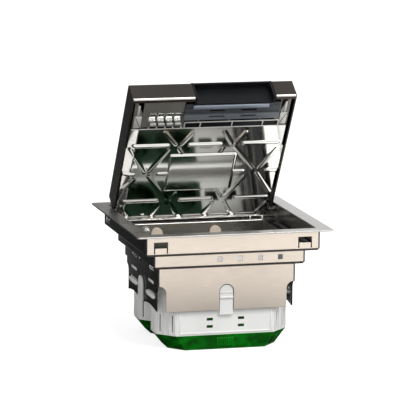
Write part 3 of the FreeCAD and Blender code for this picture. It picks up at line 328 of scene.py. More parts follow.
def tray_finish(name, colour):
    """Clear deep green moulding: light gathers in patches, on the corners and along the lower edge."""
    mat = new_material(name, colour, 0.22, 0.0, Specular_IOR_Level=0.25)
    nodes, links, shader = parts_of(mat)
    patches = noise_node(nodes, links, 95.0, (1.0, 1.0, 1.6), 5.0)
    broad = noise_node(nodes, links, 24.0, (1.0, 1.0, 0.4), 2.0)
    glow = math_node(nodes, links, "MULTIPLY", ramp_node(nodes, links, patches, 0.42, 0.72),
                     ramp_node(nodes, links, broad, 0.35, 0.65, 0.25, 1.0))
    deep = mix_colour(nodes, links, glow, tinted(colour, 0.42), (0.0, colour[1] * 1.9, 0.006))
    edge_wear_and_highlight = soft_edges(mat, 0.0008, patches, 0.05, 0.0002)
    # Brighter green on the edges and corners is painted light.
    edges = mix_colour(nodes, links, edge_wear_and_highlight, deep, (0.004, colour[1] * 2.6, 0.01))
    links.new(edges, shader.inputs["Base Color"])
    return mat


def fold_shaded_finish(name, bands, rough):
    """Pressed metal whose folds run across the lid, each fold painted lighter or darker as light and shade:
    (distance from the hinge, colour) from low to high.
    """
    mat = new_material(name, bands[0][1], rough, 0.25)
    nodes, links, shader = parts_of(mat)
    place = nodes.new("ShaderNodeTexCoord")
    along = nodes.new("ShaderNodeVectorMath")
    along.operation = "DOT_PRODUCT"
    along.inputs[1].default_value = (0.0, -math.cos(LID_OPEN), math.sin(LID_OPEN))
    links.new(place.outputs["Object"], along.inputs[0])
    start = -HINGE[1] * math.cos(LID_OPEN) + HINGE[2] * math.sin(LID_OPEN)
    tone = bands[0][1]
    # Each step paints the next fold lighter or darker, as light and shade.
    for edge, colour in bands[1:]:
        level = start + edge * MM
        step = ramp_node(nodes, links, along.outputs["Value"], level - 0.0002, level + 0.0002)
        tone = mix_colour(nodes, links, step, tone, colour)
    grain = noise_node(nodes, links, 700.0, (0.05, 1.0, 1.0), 3.0)
    edge_wear_and_highlight = soft_edges(mat, 0.0004, grain, 0.03, 0.00005)
    lined = ramp_node(nodes, links, grain, 0.35, 0.65, 0.0, 0.3)
    streaked = mix_colour(nodes, links, lined, tone, tinted(bands[0][1], 0.7))
    edges = mix_colour(nodes, links, edge_wear_and_highlight, streaked, tinted(bands[-1][1], 1.5))
    links.new(edges, shader.inputs["Base Color"])
    return mat


FINISHES = {}


def finish_of(name):
    """A finish by name, made the first time it is asked for."""
    if name in FINISHES:
        return FINISHES[name]
    colours = bpy.context.scene.box_colours
    casing, side, flange = (tuple(value) for value in (colours.casing, colours.side, colours.flange))
    lid, plate = tuple(colours.lid), tuple(colours.plate)
    white, green = tuple(colours.plastic), tuple(colours.green)
    module, black = tuple(colours.module), tuple(colours.black)
    made = {
        # The casing's warm colour holds a painted warm reflection.
        "casing": lambda: sheet_finish("satin steel with a painted warm reflection", casing, 0.34, (0.05, 1.0, 1.0), bump=0.05),
        # Near-black outside and the light and dark inner tones are painted shade and painted light on one
        # steel.
        "casing side": lambda: side_finish("side steel with painted shade", side, (0.72, 0.70, 0.67), (0.15, 0.147, 0.14)),
        "casing back": lambda: sheet_finish("rear plate steel", (0.44, 0.43, 0.41), 0.2,
                                            (0.05, 1.0, 1.0), bump=0.03),
        "flange": lambda: sheet_finish("flange steel", flange, 0.3, (0.06, 1.0, 1.0), bump=0.02),
        # The lid's strong edge lift is partly wear, partly a painted highlight.
        "lid": lambda: sheet_finish("lid steel", lid, 0.3, (0.06, 1.0, 1.0), bump=0.03, wear_and_highlight=1.7),
        "plate": lambda: mirror_finish("polished plate", plate),
        "header": lambda: sheet_finish("header steel", (0.20, 0.197, 0.186), 0.34,
                                       (0.06, 1.0, 1.0), metal=0.6, bump=0.03),
        "bright": lambda: sheet_finish("bright steel", (0.72, 0.71, 0.69), 0.17, (0.4, 1.0, 1.0), bump=0.04),
        # The bright colour of the lid's folds is a painted highlight.
        "bright fold": lambda: sheet_finish("folded edge with painted highlight", (0.48, 0.45, 0.42), 0.3,
                                            (0.05, 1.0, 1.0), bump=0.03),
        "lid panel": lambda: sheet_finish("brushed cover steel", (0.36, 0.35, 0.335), 0.32,
                                          (0.04, 1.0, 1.0), bump=0.05),
        "panel": lambda: sheet_finish("pale panel steel", (0.62, 0.61, 0.58), 0.38,
                                      (0.1, 1.0, 1.0), metal=0.5, bump=0.01),
        "comb tab": lambda: sheet_finish("grey tab steel", (0.26, 0.26, 0.25), 0.36,
                                         (0.1, 1.0, 1.0), metal=0.6, bump=0.01),
        "cover": lambda: moulding_finish("pale grey cover", (0.36, 0.36, 0.345), 0.38, speck=0.95),
        "lug": lambda: sheet_finish("warm lug steel", (0.80, 0.69, 0.58), 0.4, metal=0.4, bump=0.03),
        "sill": lambda: sheet_finish("blue-grey sill", (0.24, 0.285, 0.34), 0.3,
                                     (0.05, 1.0, 1.0), metal=0.3, bump=0.03),
        "rack": lambda: fold_shaded_finish("blue-grey metal with painted fold shade", RACK_FOLD_SHADES, 0.34),
        # The divider's pale colour lightens it against the box's shade: partly its steel, partly painted
        # light.
        "divider": lambda: sheet_finish("divider steel", (0.82, 0.81, 0.79), 0.4, metal=0.25, bump=0.03),
        "white": lambda: moulding_finish("white moulding", white, 0.34, speck=0.965),
        "tray": lambda: tray_finish("green moulding", green),
        "module": lambda: moulding_finish("module green", module, 0.55, 0.04, speck=0.85,
                                          Specular_IOR_Level=0.08),
        "dark module": lambda: moulding_finish("module grey", (0.03, 0.028, 0.027), 0.4, 0.04, speck=0.85,
                                               Specular_IOR_Level=0.3),
        "black": lambda: moulding_finish("black moulding", black, 0.42, 0.04, speck=0.8,
                                         Specular_IOR_Level=0.12),
        "rubber": lambda: moulding_finish("seal rubber", (0.02, 0.02, 0.021), 0.62, 0.2, speck=0.7),
    }
    FINISHES[name] = made[name]()
    return FINISHES[name]


NODE_FINISH = {
    "casing": ("casing_front",),
    "lug": ("rear_lugs",),
    "casing back": ("casing_rear",),
    "casing side": ("casing_left", "casing_right"),
    "flange": ("flange_frame",),
    "lid": ("lid_shell",),
    "header": ("header_plate_left", "header_plate_right", "outlet_grille"),
    "comb tab": ("header_gussets",),
    "bright": ("cable_comb", "hinge_arm_left", "hinge_arm_right", "hinge_pin_left",
               "hinge_pin_right", "flap_pin", "earth_clips", "earth_bolt"),
    "rack": ("outlet_rack",),
    "divider": ("centre_divider",),
    "white": ("device_box_front", "device_box_rear", "device_deck_front", "device_deck_rear"),
    "tray": ("base_tray_front", "base_tray_rear"),
    "module": ("socket_front_left", "socket_front_middle", "socket_rear_left", "socket_rear_middle"),
    "dark module": ("data_module_front", "data_module_rear"),
    "black": ("outlet_housing", "outlet_flap"),
    "rubber": ("frame_seal",),
}


# ---------------------------------------------------------------- stage

FLOOR_RADIUS, FLOOR_DROP, FLOOR_GLOW = 14.0, 0.0004, 0.79
CAMERA_AIM = (0.02, 1.1, 128.94)
LAMP_AIM = (0, 0, 0.12)
# Lamps as (name, place, size, share of the key light's power), in metres.
LAMPS = (
    ("key light", (1.1, -1.5, 1.7), 1.3, 1.0),
    ("fill light", (-1.6, -1.2, 1.0), 1.6, 0.2),
    ("top light", (0.1, -1.0, 2.1), 0.9, 0.95),
)
UPRIGHT = math.radians(90)
BLACK_TONE, GREY_TONE = (0.02, 0.02, 0.02), (0.3, 0.3, 0.3)
# Cards that only reflections show, as (name, place, size, turn, tone), in metres.
CARDS = (
    ("back card", (-0.70, 0.28, 0.5), (1.15, 1.0), (UPRIGHT, 0, 0), BLACK_TONE),
    ("grey card", (-0.05, 0.28, 0.5), (0.15, 1.0), (UPRIGHT, 0, 0), GREY_TONE),
    ("left card", (-0.9, -0.3, 0.3), (1.2, 0.6), (UPRIGHT, 0, UPRIGHT), BLACK_TONE),
    ("side card", (-0.3, 0.62, 0.001), (0.5, 0.8), (0, 0, 0), BLACK_TONE),
    ("low card", (-0.14, -0.03, 0.001), (0.56, 0.5), (0, 0, 0), BLACK_TONE),
)


class FLOORBOX_OT_stage(bpy.types.Operator):
    """Set up the camera, the pale floor and the soft studio lights"""

    bl_idname = "floorbox.stage"
    bl_label = "Camera, floor and lights"

    def execute(self, context):
        stage = context.scene.box_stage
        self.camera(context, stage)
        self.floor()
        self.room(context, stage)
        self.lamps(stage)
        context.scene.view_settings.view_transform = "Standard"
        return {"FINISHED"}

    def camera(self, context, stage):
        """Long lens from the front left, a little above."""
        turn, rise = stage.azimuth, stage.elevation
        back = Vector((-math.sin(turn) * math.cos(rise), -math.cos(turn) * math.cos(rise), math.sin(rise)))
        right = Vector((math.cos(turn), -math.sin(turn), 0.0))
        up = right.cross(back) * -1.0
        rolled_right = right * math.cos(stage.roll) + up * math.sin(stage.roll)
        rolled_up = up * math.cos(stage.roll) - right * math.sin(stage.roll)
        data = bpy.data.cameras.new("camera")
        data.lens = stage.lens
        data.sensor_width = 36.0
        data.clip_end = 60.0
        camera = bpy.data.objects.new("camera", data)
        context.scene.collection.objects.link(camera)
        place = Matrix.Identity(4)
        for column, axis in enumerate((rolled_right, rolled_up, back)):
            for row in range(3):
                place[row][column] = axis[row]
        place.translation = Vector(CAMERA_AIM) * MM + back * stage.distance
        camera.matrix_world = place
        context.scene.camera = camera

    def floor(self):
        """Wide pale floor that keeps the box's soft shadow and is seen evenly bright."""
        bpy.ops.mesh.primitive_circle_add(vertices=96, radius=FLOOR_RADIUS, fill_type="NGON",
                                          location=(0, 0, CAD_BOX[0][2] - FLOOR_DROP))
        floor = bpy.context.object
        floor.name = "floor"
        mat = new_material("pale floor", (0.4, 0.4, 0.4), 0.9)
        nodes, links, shader = parts_of(mat)
        glow = math_node(nodes, links, "MULTIPLY", seen_directly(nodes, links), FLOOR_GLOW)
        shader.inputs["Emission Color"].default_value = (1, 1, 1, 1)
        links.new(glow, shader.inputs["Emission Strength"])
        floor.data.materials.append(mat)

    def room(self, context, stage):
        """Even room light, with a brighter white where the room itself is seen."""
        world = bpy.data.worlds.new("room")
        world.use_nodes = True
        context.scene.world = world
        nodes, links = world.node_tree.nodes, world.node_tree.links
        light = nodes["Background"]
        light.inputs["Color"].default_value = (1, 1, 1, 1)
        light.inputs["Strength"].default_value = stage.sky
        shown = nodes.new("ShaderNodeBackground")
        shown.inputs["Color"].default_value = (1, 1, 1, 1)
        shown.inputs["Strength"].default_value = 1.0
        seen = seen_directly(nodes, links)
        mix = nodes.new("ShaderNodeMixShader")
        links.new(seen, mix.inputs[0])
        links.new(light.outputs[0], mix.inputs[1])
        links.new(shown.outputs[0], mix.inputs[2])
        links.new(mix.outputs[0], nodes["World Output"].inputs["Surface"])

    def lamps(self, stage):
        """Three soft lamps, and cards that put dark and grey areas into the metal's reflections."""
        for name, spot, size, share in LAMPS:
            data = bpy.data.lights.new(name, "AREA")
            data.size = size
            data.energy = stage.key * share
            lamp = bpy.data.objects.new(name, data)
            bpy.context.scene.collection.objects.link(lamp)
            aim = Vector(LAMP_AIM) - Vector(spot)
            lamp.rotation_euler = aim.to_track_quat("-Z", "Y").to_euler()
            lamp.location = spot
        tones = {BLACK_TONE: new_material("black card", BLACK_TONE, 0.9),
                 GREY_TONE: new_material("grey card", GREY_TONE, 0.9)}
        for name, spot, size, turn, tone in CARDS:
            bpy.ops.mesh.primitive_plane_add(size=1.0, location=spot, rotation=turn)
            card = bpy.context.object
            card.name = name
            card.scale = (size[0], size[1], 1.0)
            card.data.materials.append(tones[tone])
            card.visible_camera = False
            card.visible_diffuse = False
            card.visible_shadow = False
            card.visible_transmission = False


# ---------------------------------------------------------------- finishes of the solid parts

class FLOORBOX_OT_finishes(bpy.types.Operator):
    """Give each solid part of the box its finish"""

    bl_idname = "floorbox.finishes"
    bl_label = "Finishes"

    def execute(self, context):
        for finish, names in NODE_FINISH.items():
            for name in names:
                mesh = NODES[name].data
                mesh.materials.clear()
                mesh.materials.append(finish_of(finish))
        return {"FINISHED"}


# ---------------------------------------------------------------- modelling helpers

def clear_selection():
    """Nothing selected, nothing in edit mode."""
    if bpy.context.object is not None and bpy.context.object.mode != "OBJECT":
        bpy.ops.object.mode_set(mode="OBJECT")
    bpy.ops.object.select_all(action="DESELECT")


def added(name):
    """The primitive that was just added, named."""
    piece = bpy.context.object
    piece.name = name
    piece.data.name = name
    return piece


def apply_modifiers(piece):
    """Applies each modifier of the piece in order."""
    bpy.context.view_layer.objects.active = piece
    for modifier in list(piece.modifiers):
        bpy.ops.object.modifier_apply(modifier=modifier.name)


def rounded(piece, width, segments=2, angle=40.0):
    """Rounds the piece's edges."""
    modifier = piece.modifiers.new("edges", "BEVEL")
    modifier.width = width
    modifier.segments = segments
    modifier.limit_method = "ANGLE"
    modifier.angle_limit = math.radians(angle)
    apply_modifiers(piece)


def seat(piece, place, finish, body, smooth=35.0):
    """Puts a modelled piece where it belongs, with its finish and body."""
    clear_selection()
    piece.select_set(True)
    bpy.context.view_layer.objects.active = piece
    bpy.ops.object.transform_apply(location=True, rotation=True, scale=True)
    piece.data.transform(place)
    if smooth:
        bpy.ops.object.shade_smooth_by_angle(angle=math.radians(smooth))
    piece.data.materials.clear()
    piece.data.materials.append(finish_of(finish))
    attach(piece, body)
    clear_selection()
    return piece


def merged(pieces, name):
    """Several pieces joined into one."""
    clear_selection()
    for piece in pieces:
        piece.select_set(True)
    bpy.context.view_layer.objects.active = pieces[0]
    bpy.ops.object.join()
    return added(name)


def twin_of(piece):
    """A copy of the piece with a mesh of its own."""
    twin = piece.copy()
    twin.data = piece.data.copy()
    bpy.context.scene.collection.objects.link(twin)
    return twin


def copy_at(piece, spots):
    """A copy of the piece at each spot, in place of the piece itself."""
    out = []
    for spot in spots:
        twin = twin_of(piece)
        twin.data.transform(Matrix.Translation(Vector(spot) * MM))
        out.append(twin)
    bpy.data.objects.remove(piece)
    return out


def thickened(piece, thick, offset=-1.0):
    """Gives an open sheet its wall, in millimetres."""
    wall = piece.modifiers.new("wall", "SOLIDIFY")
    wall.thickness = thick * MM
    wall.offset = offset
    apply_modifiers(piece)


def cut(piece, cutter):
    """Takes the cutter's shape out of the piece, then deletes the cutter."""
    opening = piece.modifiers.new("opening", "BOOLEAN")
    opening.operation = "DIFFERENCE"
    opening.object = cutter
    apply_modifiers(piece)
    bpy.data.objects.remove(cutter)


def arc_strip(name, radius, length, first, last, thick):
    """Part of a round tube along X: from one angle to the other, in degrees from +Y towards +Z."""
    clear_selection()
    bpy.ops.mesh.primitive_cylinder_add(vertices=72, radius=radius * MM, depth=length * MM,
                                        end_fill_type="NOTHING", rotation=(0, math.radians(90), 0))
    strip = added(name)
    bpy.ops.object.transform_apply(location=False, rotation=True, scale=False)
    bpy.ops.object.mode_set(mode="EDIT")
    bpy.ops.mesh.select_all(action="DESELECT")
    bpy.ops.object.mode_set(mode="OBJECT")
    for face in strip.data.polygons:
        angle = math.degrees(math.atan2(face.center.z, face.center.y)) % 360.0
        face.select = not first % 360.0 <= angle <= last % 360.0
    bpy.ops.object.mode_set(mode="EDIT")
    bpy.ops.mesh.delete(type="FACE")
    bpy.ops.object.mode_set(mode="OBJECT")
    thickened(strip, thick)
    return strip


def bar(name, size, centre, width, segments=2):
    """A bar with rounded edges, sized and placed in millimetres."""
    clear_selection()
    bpy.ops.mesh.primitive_cube_add(size=1.0, location=Vector(centre) * MM)
    piece = added(name)
    bpy.ops.object.mode_set(mode="EDIT")
    bpy.ops.transform.resize(value=Vector(size) * MM)
    bpy.ops.object.mode_set(mode="OBJECT")
    bpy.ops.object.transform_apply(location=True, rotation=True, scale=True)
    rounded(piece, width * MM, segments)
    return piece


def tab(name, half_wide, low, high, thick, width):
    """An upright tab with a round top, facing X, sized in millimetres."""
    clear_selection()
    bpy.ops.mesh.primitive_circle_add(vertices=48, radius=half_wide * MM, fill_type="NGON",
                                      rotation=(0, math.radians(90), 0))
    piece = added(name)
    bpy.ops.object.transform_apply(location=False, rotation=True, scale=False)
    for vertex in piece.data.vertices:
        vertex.co.z += (high - half_wide) * MM
        if vertex.co.z < (high - half_wide - 0.01) * MM:
            vertex.co.z = low * MM
    thickened(piece, thick, 0.0)
    rounded(piece, width * MM, 3)
    return piece


# ---------------------------------------------------------------- lid's inner plate

PLATE_UNDER, PLATE_WALL = -6.0, 0.9
PLATE_STEPS_X, PLATE_STEPS_Y = 206, 159
PLATE_WIDE, PLATE_LOW, PLATE_TOP = 80.5, -3.6, 121.4
EAR_WIDE, EAR_LOW, EAR_TOP = 82.6, 61.0, 94.6
RIB_HALF, RIB_CREST, RIB_RISE, LEAN_RISE = 2.5, 0.45, 1.5, 0.36
MARGIN_FROM, MARGIN_SLOPE = 72.6, 0.3
PANEL, PANEL_EDGE = (-33.0, 33.0, 38.6, 84.2), 2.4
# Ribs of the plate as (x, distance from the hinge) at both ends, in millimetres.
PLATE_RIBS = (
    (-73.5, 98.6, -39.6, 98.6), (-16.0, 98.6, 15.2, 98.6), (40.8, 98.6, 76.0, 98.6),
    (-80.5, 60.6, -69.8, 60.6), (-43.6, 60.6, -35.0, 60.6), (35.6, 60.6, 44.6, 60.6),
    (70.6, 60.6, 80.5, 60.6),
    (-73.5, 23.4, -40.4, 23.4), (-15.6, 23.4, 16.6, 23.4), (43.0, 23.4, 76.0, 23.4),
    (-65.6, 0.2, -45.6, 0.2), (-38.4, 0.2, -17.8, 0.2), (-9.2, 0.2, 11.0, 0.2), (18.6, 0.2, 39.0, 0.2),
    (47.2, 0.2, 68.0, 0.2),
    (-31.4, 99.4, -44.2, 116.0), (-25.4, 99.4, -16.0, 114.6), (26.8, 99.4, 17.0, 115.4),
    (31.4, 99.4, 40.0, 114.0),
    (-38.0, 92.6, -54.4, 63.6), (-27.4, 94.4, -21.6, 84.2), (19.2, 92.4, 16.0, 85.0),
    (31.0, 94.4, 56.0, 63.6),
    (-77.0, 94.0, -59.0, 62.6), (76.6, 91.4, 61.6, 63.6),
    (-68.6, 54.0, -76.4, 41.0), (-53.8, 57.8, -31.0, 25.6), (48.0, 53.6, 31.6, 25.0),
    (60.4, 57.4, 78.0, 30.0),
    (-26.4, 24.6, -21.4, 32.6), (27.0, 24.6, 21.8, 34.0),
    (-36.8, 17.0, -44.8, 2.4), (-24.8, 17.0, -16.4, 2.4), (19.4, 16.4, 11.0, 2.4), (32.6, 17.0, 40.6, 4.0),
    (-75.4, 15.6, -66.4, 2.4), (78.0, 15.6, 69.4, 2.8),
)


def eased(share):
    """A smooth step from 0 to 1."""
    return share * share * (3.0 - 2.0 * share)


def rib_height(x, s):
    """How far the pressed plate stands out at a point: level ribs stand higher than leaning ones."""
    best = 0.0
    for x1, s1, x2, s2 in PLATE_RIBS:
        along_x, along_s = x2 - x1, s2 - s1
        reach = ((x - x1) * along_x + (s - s1) * along_s) / (along_x * along_x + along_s * along_s)
        reach = min(1.0, max(0.0, reach))
        gap = math.hypot(x - x1 - reach * along_x, s - s1 - reach * along_s)
        share = min(1.0, max(0.0, (RIB_HALF - gap) / (RIB_HALF - RIB_CREST)))
        best = max(best, (RIB_RISE if s1 == s2 else LEAN_RISE) * eased(share))
    out_x = max(PANEL[0] - x, x - PANEL[1], 0.0)
    out_s = max(PANEL[2] - s, s - PANEL[3], 0.0)
    share = max(0.0, 1.0 - math.hypot(out_x, out_s) / PANEL_EDGE)
    return max(best, RIB_RISE * eased(share))


class FLOORBOX_OT_inner_plate(bpy.types.Operator):
    """Pressed and polished plate inside the lid, with its lattice of separate ribs"""

    bl_idname = "floorbox.inner_plate"
    bl_label = "Lid's inner plate"

    def execute(self, context):
        clear_selection()
        bpy.ops.mesh.primitive_grid_add(x_subdivisions=PLATE_STEPS_X, y_subdivisions=PLATE_STEPS_Y, size=1.0)
        plate = added("polished_inner_plate")
        middle = (PLATE_LOW + PLATE_TOP) / 2
        for vertex in plate.data.vertices:
            x = vertex.co.x * 2 * EAR_WIDE
            s = middle - vertex.co.y * (PLATE_TOP - PLATE_LOW)
            if not EAR_LOW <= s <= EAR_TOP:
                x = max(-PLATE_WIDE, min(PLATE_WIDE, x))
            margin = max(0.0, -x - MARGIN_FROM) * MARGIN_SLOPE
            vertex.co = Vector((x, -s, PLATE_UNDER + margin - rib_height(x, s))) * MM
        bpy.ops.object.mode_set(mode="EDIT")
        bpy.ops.mesh.select_all(action="SELECT")
        bpy.ops.mesh.remove_doubles(threshold=0.02 * MM)
        bpy.ops.mesh.flip_normals()
        bpy.ops.object.mode_set(mode="OBJECT")
        thickened(plate, PLATE_WALL)
        seat(plate, LID, "plate", "lid", 50.0)
        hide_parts("lid_inner_plate")
        return {"FINISHED"}


# ---------------------------------------------------------------- lid's trims

# Folds under the lid's free edge as (side, left end, right end), coloured bright as a painted highlight on
# the dark lid.
FOLDS = (("left", -83.6, -20.9), ("right", 63.3, 83.6))
FOLD_RADIUS, FOLD_WALL, FOLD_Y, FOLD_Z = 1.9, 0.3, -161.2, -6.6
COVER_SIZE, COVER_MIDDLE, COVER_EDGE = (158.0, 128.0, 0.7), (0, -86.0, 10.9), 0.28
RIVETS_X, RIVETS_Y, RIVETS_Z = (-72.0, 72.0), (-29.0, -143.0), 11.3
RIVET_RADIUS, RIVET_HIGH, RIVET_EDGE = 2.4, 0.9, 0.4
SILL_SIZE, SILL_MIDDLE, SILL_EDGE = (78.6, 4.6, 1.4), (18.3, -150.4, -8.1), 0.6


class FLOORBOX_OT_lid_trims(bpy.types.Operator):
    """Folds under the lid's free edge, painted bright as a highlight, the cover panel on its top and the
    outlet's sill
    """

    bl_idname = "floorbox.lid_trims"
    bl_label = "Lid's bright folds"

    def execute(self, context):
        for side, left, right in FOLDS:
            trim = arc_strip(f"lid_fold_highlight_{side}", FOLD_RADIUS, right - left, 180.0, 262.0, FOLD_WALL)
            trim.location = Vector(((left + right) / 2, FOLD_Y, FOLD_Z)) * MM
            # The fold's bright colour is a painted highlight along the dark lid's edge.
            seat(trim, LID, "bright fold", "lid")
        cover = bar("lid_cover_panel", COVER_SIZE, COVER_MIDDLE, COVER_EDGE)
        seat(cover, LID, "lid panel", "lid")
        spots = [(x, y, RIVETS_Z) for x in RIVETS_X for y in RIVETS_Y]
        seat(merged(copy_at(self.rivet(), spots), "lid_cover_rivets"), LID, "bright", "lid")
        sill = bar("outlet_sill", SILL_SIZE, SILL_MIDDLE, SILL_EDGE, 3)
        seat(sill, LID, "sill", "lid")
        return {"FINISHED"}

    def rivet(self):
        """A low domed rivet head."""
        clear_selection()
        bpy.ops.mesh.primitive_cylinder_add(vertices=32, radius=RIVET_RADIUS * MM, depth=RIVET_HIGH * MM)
        head = added("rivet")
        rounded(head, RIVET_EDGE * MM, 3)
        return head


# ---------------------------------------------------------------- casing and device boxes

# Rows of device boxes as (name, middle along Y).
ROWS = (("front", -35.0), ("rear", 35.0))
CLIP_SIZE, CLIP_OUT, CLIP_HIGH = (1.1, 23.0, 3.2), 69.3, 66.4
KEY_HALF, KEY_LOW, KEY_TOP, KEY_WALL, KEY_OUT = 8.4, 42.0, 65.4, 1.8, 71.6
CATCH_OUT, CATCH_DEEP, CATCH_HALF, CATCH_HIGH = 68.6, 4.6, 19.0, 53.6
CATCH_ABOVE, CATCH_BELOW, CATCH_BOW = 2.2, 5.2, 1.4
# Punched tabs of a side plate as (distance out, along, height, length, height of the tab), in millimetres.
SIDE_TABS = (
    (69.6, 44.4, 80.0, 3.6, 3.0), (69.6, 36.4, 79.6, 7.0, 1.6), (70.6, 9.4, 81.6, 2.0, 5.4),
    (69.6, -35.0, 80.0, 19.0, 1.3), (77.6, 56.0, 95.8, 3.6, 4.0),
    (88.7, 67.0, 110.6, 4.2, 2.6), (88.7, 76.6, 110.0, 1.6, 5.4), (88.7, 71.6, 107.4, 10.0, 1.2),
)


class FLOORBOX_OT_side_catches(bpy.types.Operator):
    """Bowed catches, keys and punched tabs along the casing's sides"""

    bl_idname = "floorbox.side_catches"
    bl_label = "Side catches, keys and tabs"

    def execute(self, context):
        for side, sign in (("left", -1.0), ("right", 1.0)):
            for row, y in ROWS:
                self.catch(f"side_catch_{row}_{side}", sign, y)
                clip = bar(f"side_clip_{row}_{side}", CLIP_SIZE, (sign * CLIP_OUT, y, CLIP_HIGH), 0.5, 3)
                seat(clip, BASE, "white", "base")
            key = tab(f"side_key_{side}", KEY_HALF, KEY_LOW, KEY_TOP, KEY_WALL, 0.5)
            key.location = (sign * KEY_OUT * MM, 0, 0)
            seat(key, BASE, "white", "base")
            tabs = [bar("tab", (0.9, length, high), (sign * x, y, z), 0.3)
                    for x, y, z, length, high in SIDE_TABS]
            seat(merged(tabs, f"side_tabs_{side}"), BASE, "bright", "base")
        return {"FINISHED"}

    def catch(self, name, sign, y):
        """A shallow scoop, flat above and bowed below, that fills a side window."""
        clear_selection()
        bpy.ops.mesh.primitive_uv_sphere_add(segments=48, ring_count=24, radius=1.0)
        scoop = added(name)
        bpy.ops.object.mode_set(mode="EDIT")
        bpy.ops.mesh.select_all(action="SELECT")
        bpy.ops.mesh.bisect(plane_co=(-0.45, 0, 0), plane_no=(1, 0, 0), use_fill=True, clear_inner=True)
        bpy.ops.object.mode_set(mode="OBJECT")
        for vertex in scoop.data.vertices:
            x, along, z = vertex.co
            rise = z * (CATCH_ABOVE if z > 0 else CATCH_BELOW)
            high = CATCH_HIGH + rise + CATCH_BOW * (1.0 - abs(along))
            vertex.co = Vector((sign * (CATCH_OUT + x * CATCH_DEEP), y + along * CATCH_HALF, high)) * MM
        clear_selection()
        scoop.select_set(True)
        bpy.context.view_layer.objects.active = scoop
        bpy.ops.object.mode_set(mode="EDIT")
        bpy.ops.mesh.select_all(action="SELECT")
        bpy.ops.mesh.normals_make_consistent(inside=False)
        bpy.ops.object.mode_set(mode="OBJECT")
        seat(scoop, BASE, "white", "base", 50.0)


# Dark lips under the front plate's bands, a painted shadow line, as (name, half width, Y, height).
BAND_SHADOW_LIPS = (("upper", 87.0, -86.6, 101.7), ("middle", 75.7, -74.2, 86.4))
LIP_DEEP, LIP_HIGH = 1.9, 1.3


class FLOORBOX_OT_band_shadow_lips(bpy.types.Operator):
    """Dark lips under the two upper bands of the front plate, a painted shadow line where the folds are in
    shade
    """

    bl_idname = "floorbox.band_lips"
    bl_label = "Painted shadow lips of the front bands"

    def execute(self, context):
        for name, half, y, z in BAND_SHADOW_LIPS:
            lip = bar(f"band_shadow_lip_{name}", (2 * half, LIP_DEEP, LIP_HIGH), (0, y, z), 0.35)
            # The dark rubber finish here paints the shade under each band.
            seat(lip, BASE, "rubber", "base")
        return {"FINISHED"}


COVER_SIDE, COVER_WALL, COVER_SEAT = 43.6, 0.9, 0.46
WINDOW_SIZE, WINDOW_SHIFT = (14.6, 12.4, 4.0), 10.0


class FLOORBOX_OT_data_frames(bpy.types.Operator):
    """Pale grey cover frames with two windows, one on each data module"""

    bl_idname = "floorbox.data_frames"
    bl_label = "Cover frames of the data modules"

    def execute(self, context):
        for row in ("front", "rear"):
            low, high = (Vector(corner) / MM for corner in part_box(f"data_module_{row}"))
            middle = (low + high) / 2
            cover = bar(f"data_cover_{row}", (COVER_SIDE, COVER_SIDE, COVER_WALL),
                        (middle.x, middle.y, high.z + COVER_SEAT), 0.35)
            for shift in (-WINDOW_SHIFT, WINDOW_SHIFT):
                cut(cover, bar("cutter", WINDOW_SIZE, (middle.x + shift, middle.y, high.z), 0.3))
            seat(cover, BASE, "cover", "base")
        return {"FINISHED"}


# Posts of the header's rail: the tall ones beside the outlet and the short ones under the comb.
TALL_POSTS, SHORT_POSTS = (-26.2, -9.9, 23.1, 55.0, 71.2), (-63.0, -54.7, -46.0, -38.0, -29.6)
COMB_TABS, COMB_TAB_Y, COMB_TAB_Z = (-59.4, -50.8, -42.2, -33.6), -127.6, -6.2
GUSSET_X, GUSSET_Y, GUSSET_Z = 75.4, -131.2, -6.25
GUSSET_LINE_Z, GUSSET_LEAN = -6.6, 24.0


